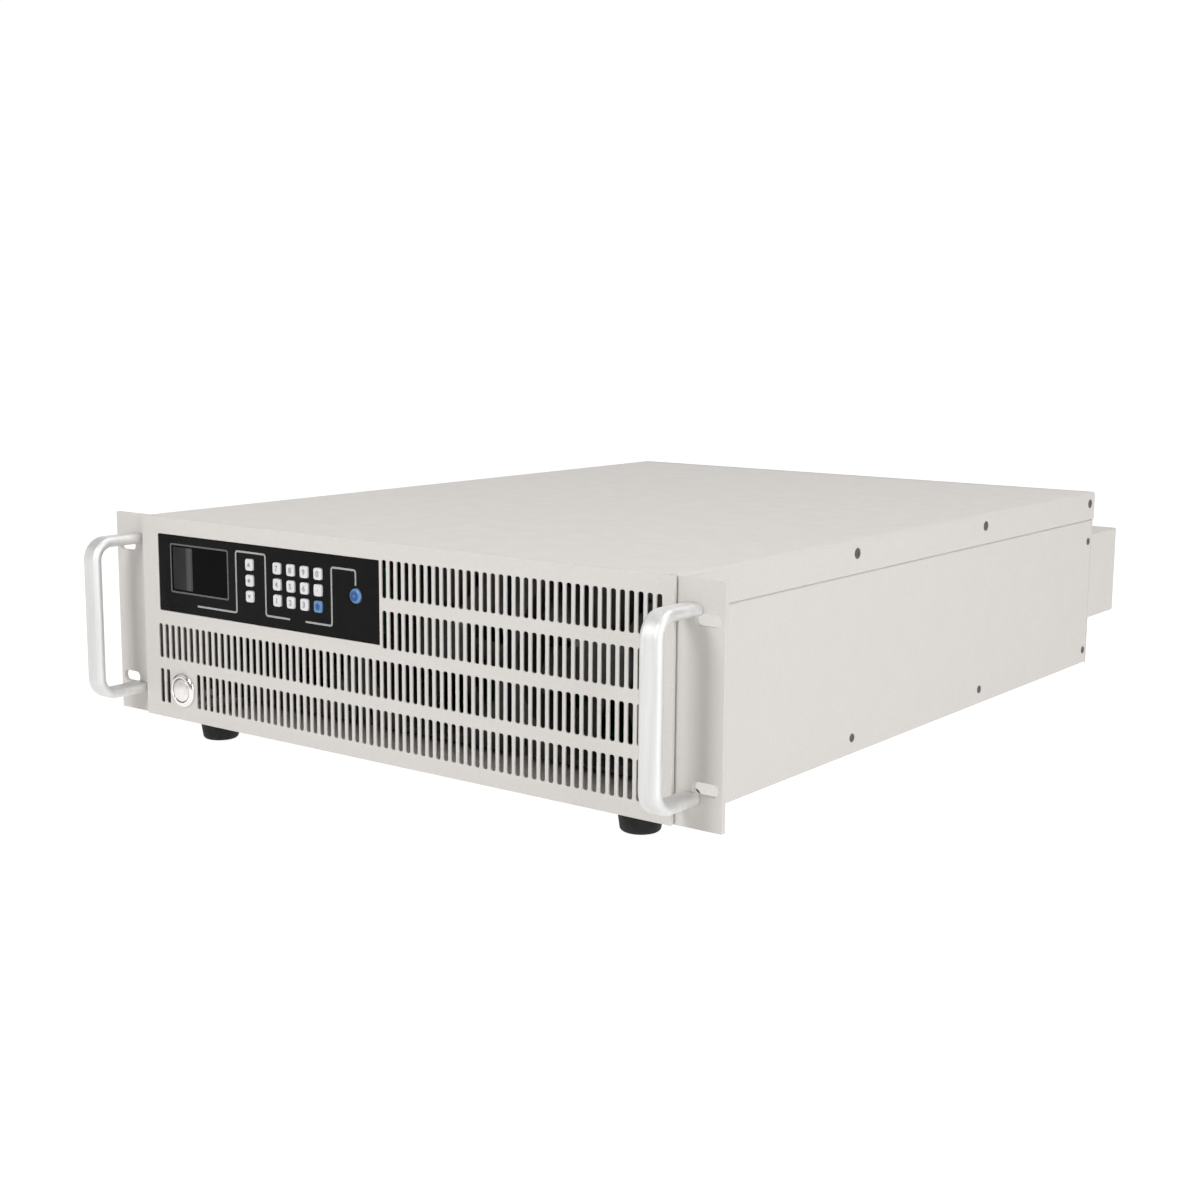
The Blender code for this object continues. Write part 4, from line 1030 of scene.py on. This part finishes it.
def blade_sheet(root, tip, spans=6, chords=8):
    """One blade about Y, standing along Z: its pitch falls and its chord grows towards the tip."""
    shape = bmesh.new()
    rows = []
    for span in range(spans + 1):
        share = span / spans
        radius = root + (tip - root) * share
        pitch = math.radians(46 - 18 * share)
        chord = 0.024 + 0.006 * share
        row = []
        for step in range(chords + 1):
            along = step / chords - 0.5
            camber = 0.0022 * (1 - (2 * along) ** 2)
            x = along * chord * math.cos(pitch) + camber * math.sin(pitch)
            y = along * chord * math.sin(pitch) - camber * math.cos(pitch)
            bend = x / radius
            row.append(shape.verts.new((radius * math.sin(bend), y, radius * math.cos(bend))))
        rows.append(row)
    for inner, outer in zip(rows, rows[1:]):
        for step in range(chords):
            shape.faces.new((inner[step], inner[step + 1], outer[step + 1], outer[step]))
    mesh = bpy.data.meshes.new("blade")
    shape.to_mesh(mesh)
    shape.free()
    item = loose(mesh)
    solid = item.modifiers.new("thickness", "SOLIDIFY")
    solid.thickness = BLADE_SHEET
    solid.offset = 0.0
    return evaluated(item)


def fan_frame(side):
    """The fan housing: two square flanges joined by a round shroud, with the struts behind."""
    low, high = node_box(f"fan_frame_{side}")
    middle = (low + high) / 2
    size = high.x - low.x
    corner = size / 2 - FAN_SCREW_INSET
    loops = [rounded(middle.x, middle.z, size, size, 0.004, 4), circle(middle.x, middle.z, FAN_BORE, 64)]
    for across in (-1, 1):
        for up in (-1, 1):
            place = (middle.x + across * corner, middle.z + up * corner)
            loops.append(circle(*place, FAN_SCREW_RADIUS, 16))
    front = plate(loops, low.y, low.y + FAN_FLANGE, 0.0004)
    back = plate(loops, high.y - FAN_FLANGE, high.y, 0.0004)
    tube = [circle(middle.x, middle.z, FAN_BORE + skin, 64) for skin in (0.0018, 0.0001)]
    shroud = plate(tube, low.y + 0.003, high.y - 0.003)
    reach = FAN_BORE + 0.0005
    rear = high.y - 0.0045
    meshes = [front, back, shroud]
    for turn in range(4):
        arm = block((0.010, rear, -0.002), (reach, rear + 0.004, 0.002), 0.0006, 2)
        spin = Matrix.Rotation(turn * math.pi / 2 + math.pi / 4, 4, "Y")
        meshes.append(shifted(arm, spin, middle.x, 0, middle.z))
    boss = facing_front(turned([(0.0030, 0.0), (0.0190, 0.0), (0.0200, -0.0008), (0.0200, -0.0056),
                                (0.0030, -0.0056)], 48, closed=True), middle.x, high.y - 0.0058, middle.z)
    meshes.append(boss)
    piece(f"fan_housing_{side}", merged(meshes), BLACK, stands_for=[f"fan_frame_{side}"])


def comms():
    """The twin communication jack, with its contacts."""
    low, high = SOCKET_LOW, SOCKET_HIGH
    middle = (low + high) / 2
    tall = high.z - low.z - 0.007
    outline = rounded_between((low.x, high.x), (low.z, high.z), 0.0005, 2)
    holes = [rounded(middle.x + side * JACK_SPACING, middle.z, JACK_WIDTH, tall, 0.0004, 2)
             for side in (-1, 1)]
    face = plate([outline] + holes, JACK_REAR, high.y, 0.0002)
    rear = block((low.x, low.y, low.z), (high.x, JACK_REAR + 0.0002, high.z), 0.0003, 2)
    piece("comms_jack", merged([face, rear]), BLACK, stands_for=["comms_socket"])
    pins = []
    for side in (-1, 1):
        for pin in range(PIN_COUNT):
            x = middle.x + side * JACK_SPACING + (pin - (PIN_COUNT - 1) / 2) * PIN_PITCH
            start = (x - 0.00025, JACK_REAR + 0.0003, middle.z + 0.0016)
            end = (x + 0.00025, 0.5600, middle.z + 0.0022)
            pins.append(block(start, end, 0.0001, 1))
    piece("comms_pins", merged(pins), GOLD)


# Inside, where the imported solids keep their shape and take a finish

def named(*starts):
    return [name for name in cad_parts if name.startswith(starts)]


def inner_finishes():
    """The finish of every piece inside the case that is shown as it was packed."""
    groups = (
        (BOARD, ("control_board", "power_board", "battery_monitor_board")),
        (BEZEL, ("display_module",)),
        (HEATSINK, ("heatsink",)),
        (BLACK, ("power_switch", "contactor", "terminal_block")),
        (STEEL, ("power_button_nut",)),
        (ZINC, ("fan_bulkhead",)),
        (CERAMIC, ("main_fuse",)),
        (CELLS, named("battery_module_")),
        (COPPER, named("module_link_", "output_bar_")),
    )
    for finish, names in groups:
        for name in names:
            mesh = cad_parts[name].data
            mesh.materials.clear()
            mesh.materials.append(finish)


def build_object():
    fascia()
    lid()
    tray()
    rear()
    cover()
    grommets()
    rack_ears()
    handles()
    feet()
    case_screws()
    control_face()
    display()
    guide_lines()
    keys()
    round_key()
    power_button()
    for side in ("left", "middle", "right"):
        fan_frame(side)
        fan_rotor(side)
    comms()
    inner_finishes()


# Floor, light and camera

def floor():
    """A wide pale table that the unit stands on."""
    mesh = bpy.data.meshes.new("floor")
    shape = bmesh.new()
    bmesh.ops.create_grid(shape, x_segments=8, y_segments=8, size=12.0)
    shape.to_mesh(mesh)
    shape.free()
    made = bpy.data.materials.new("floor_white")
    made.use_nodes = True
    colour(made, noise(made, 3.0), (0.14, 0.14, 0.14), (0.17, 0.17, 0.17))
    roughness(made, noise(made, 8.0), 0.80, 0.90)
    shader = made.node_tree.nodes["Principled BSDF"]
    shader.inputs["Emission Color"].default_value = (1.0, 1.0, 1.0, 1.0)
    shader.inputs["Emission Strength"].default_value = 0.93
    mesh.materials.append(made)
    item = bpy.data.objects.new("floor", mesh)
    item.location.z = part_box("foot_front_left")[0].z - 0.0002
    scene.collection.objects.link(item)


def soft_light(name, place, power, size, target=(0.0, 0.0, 0.05)):
    """A square lamp, its sides as long as the size, which looks at the target."""
    lamp = bpy.data.lights.new(name, "AREA")
    lamp.energy = power
    lamp.shape = "SQUARE"
    lamp.size = size
    item = bpy.data.objects.new(name, lamp)
    item.location = place
    item.rotation_euler = (Vector(target) - Vector(place)).to_track_quat("-Z", "Y").to_euler()
    scene.collection.objects.link(item)


def lighting():
    """A sky bright on one side and dimmer elsewhere, but seen as plain white, and four soft lamps."""
    world = bpy.data.worlds.new("studio")
    world.use_nodes = True
    tree = world.node_tree
    place = tree.nodes.new("ShaderNodeTexCoord")
    facing = tree.nodes.new("ShaderNodeVectorMath")
    facing.operation = "DOT_PRODUCT"
    facing.inputs[1].default_value = BACKDROP_SIDE
    fade = tree.nodes.new("ShaderNodeMapRange")
    fade.inputs["From Min"].default_value = 0.50
    fade.inputs["From Max"].default_value = 0.82
    fade.inputs["To Min"].default_value = 0.19
    fade.inputs["To Max"].default_value = 1.02
    tree.links.new(place.outputs["Generated"], facing.inputs[0])
    tree.links.new(facing.outputs["Value"], fade.inputs["Value"])
    seen = tree.nodes.new("ShaderNodeLightPath")
    paper = tree.nodes.new("ShaderNodeMath")
    paper.operation = "MAXIMUM"
    tree.links.new(seen.outputs["Is Camera Ray"], paper.inputs[0])
    tree.links.new(fade.outputs["Result"], paper.inputs[1])
    tree.links.new(paper.outputs["Value"], tree.nodes["Background"].inputs["Strength"])
    tree.nodes["Background"].inputs["Color"].default_value = (1.0, 1.0, 1.0, 1.0)
    scene.world = world
    soft_light("top_light", (0.2, 0.4, 2.2), 29.0, 2.0)
    soft_light("front_light", (-0.05, -1.5, 0.85), 11.2, 0.38)
    soft_light("side_light", (2.15, -0.64, 0.9), 34.5, 1.5)
    soft_light("fill_light", (-1.5, -1.5, 0.8), 3.0, 1.4)


def camera():
    lens = bpy.data.cameras.new("camera")
    lens.lens = CAMERA_LENS
    lens.sensor_width = CAMERA_SENSOR
    item = bpy.data.objects.new("camera", lens)
    turn = Matrix.Rotation(CAMERA_TURN, 4, "Z")
    turn = turn @ Matrix.Rotation(CAMERA_TILT, 4, "X") @ Matrix.Rotation(CAMERA_ROLL, 4, "Z")
    item.matrix_world = Matrix.Translation(Vector(CAMERA_PLACE) + DATUM) @ turn
    scene.collection.objects.link(item)
    scene.camera = item


scene.view_settings.view_transform = "Standard"
build_object()
floor()
lighting()
camera()
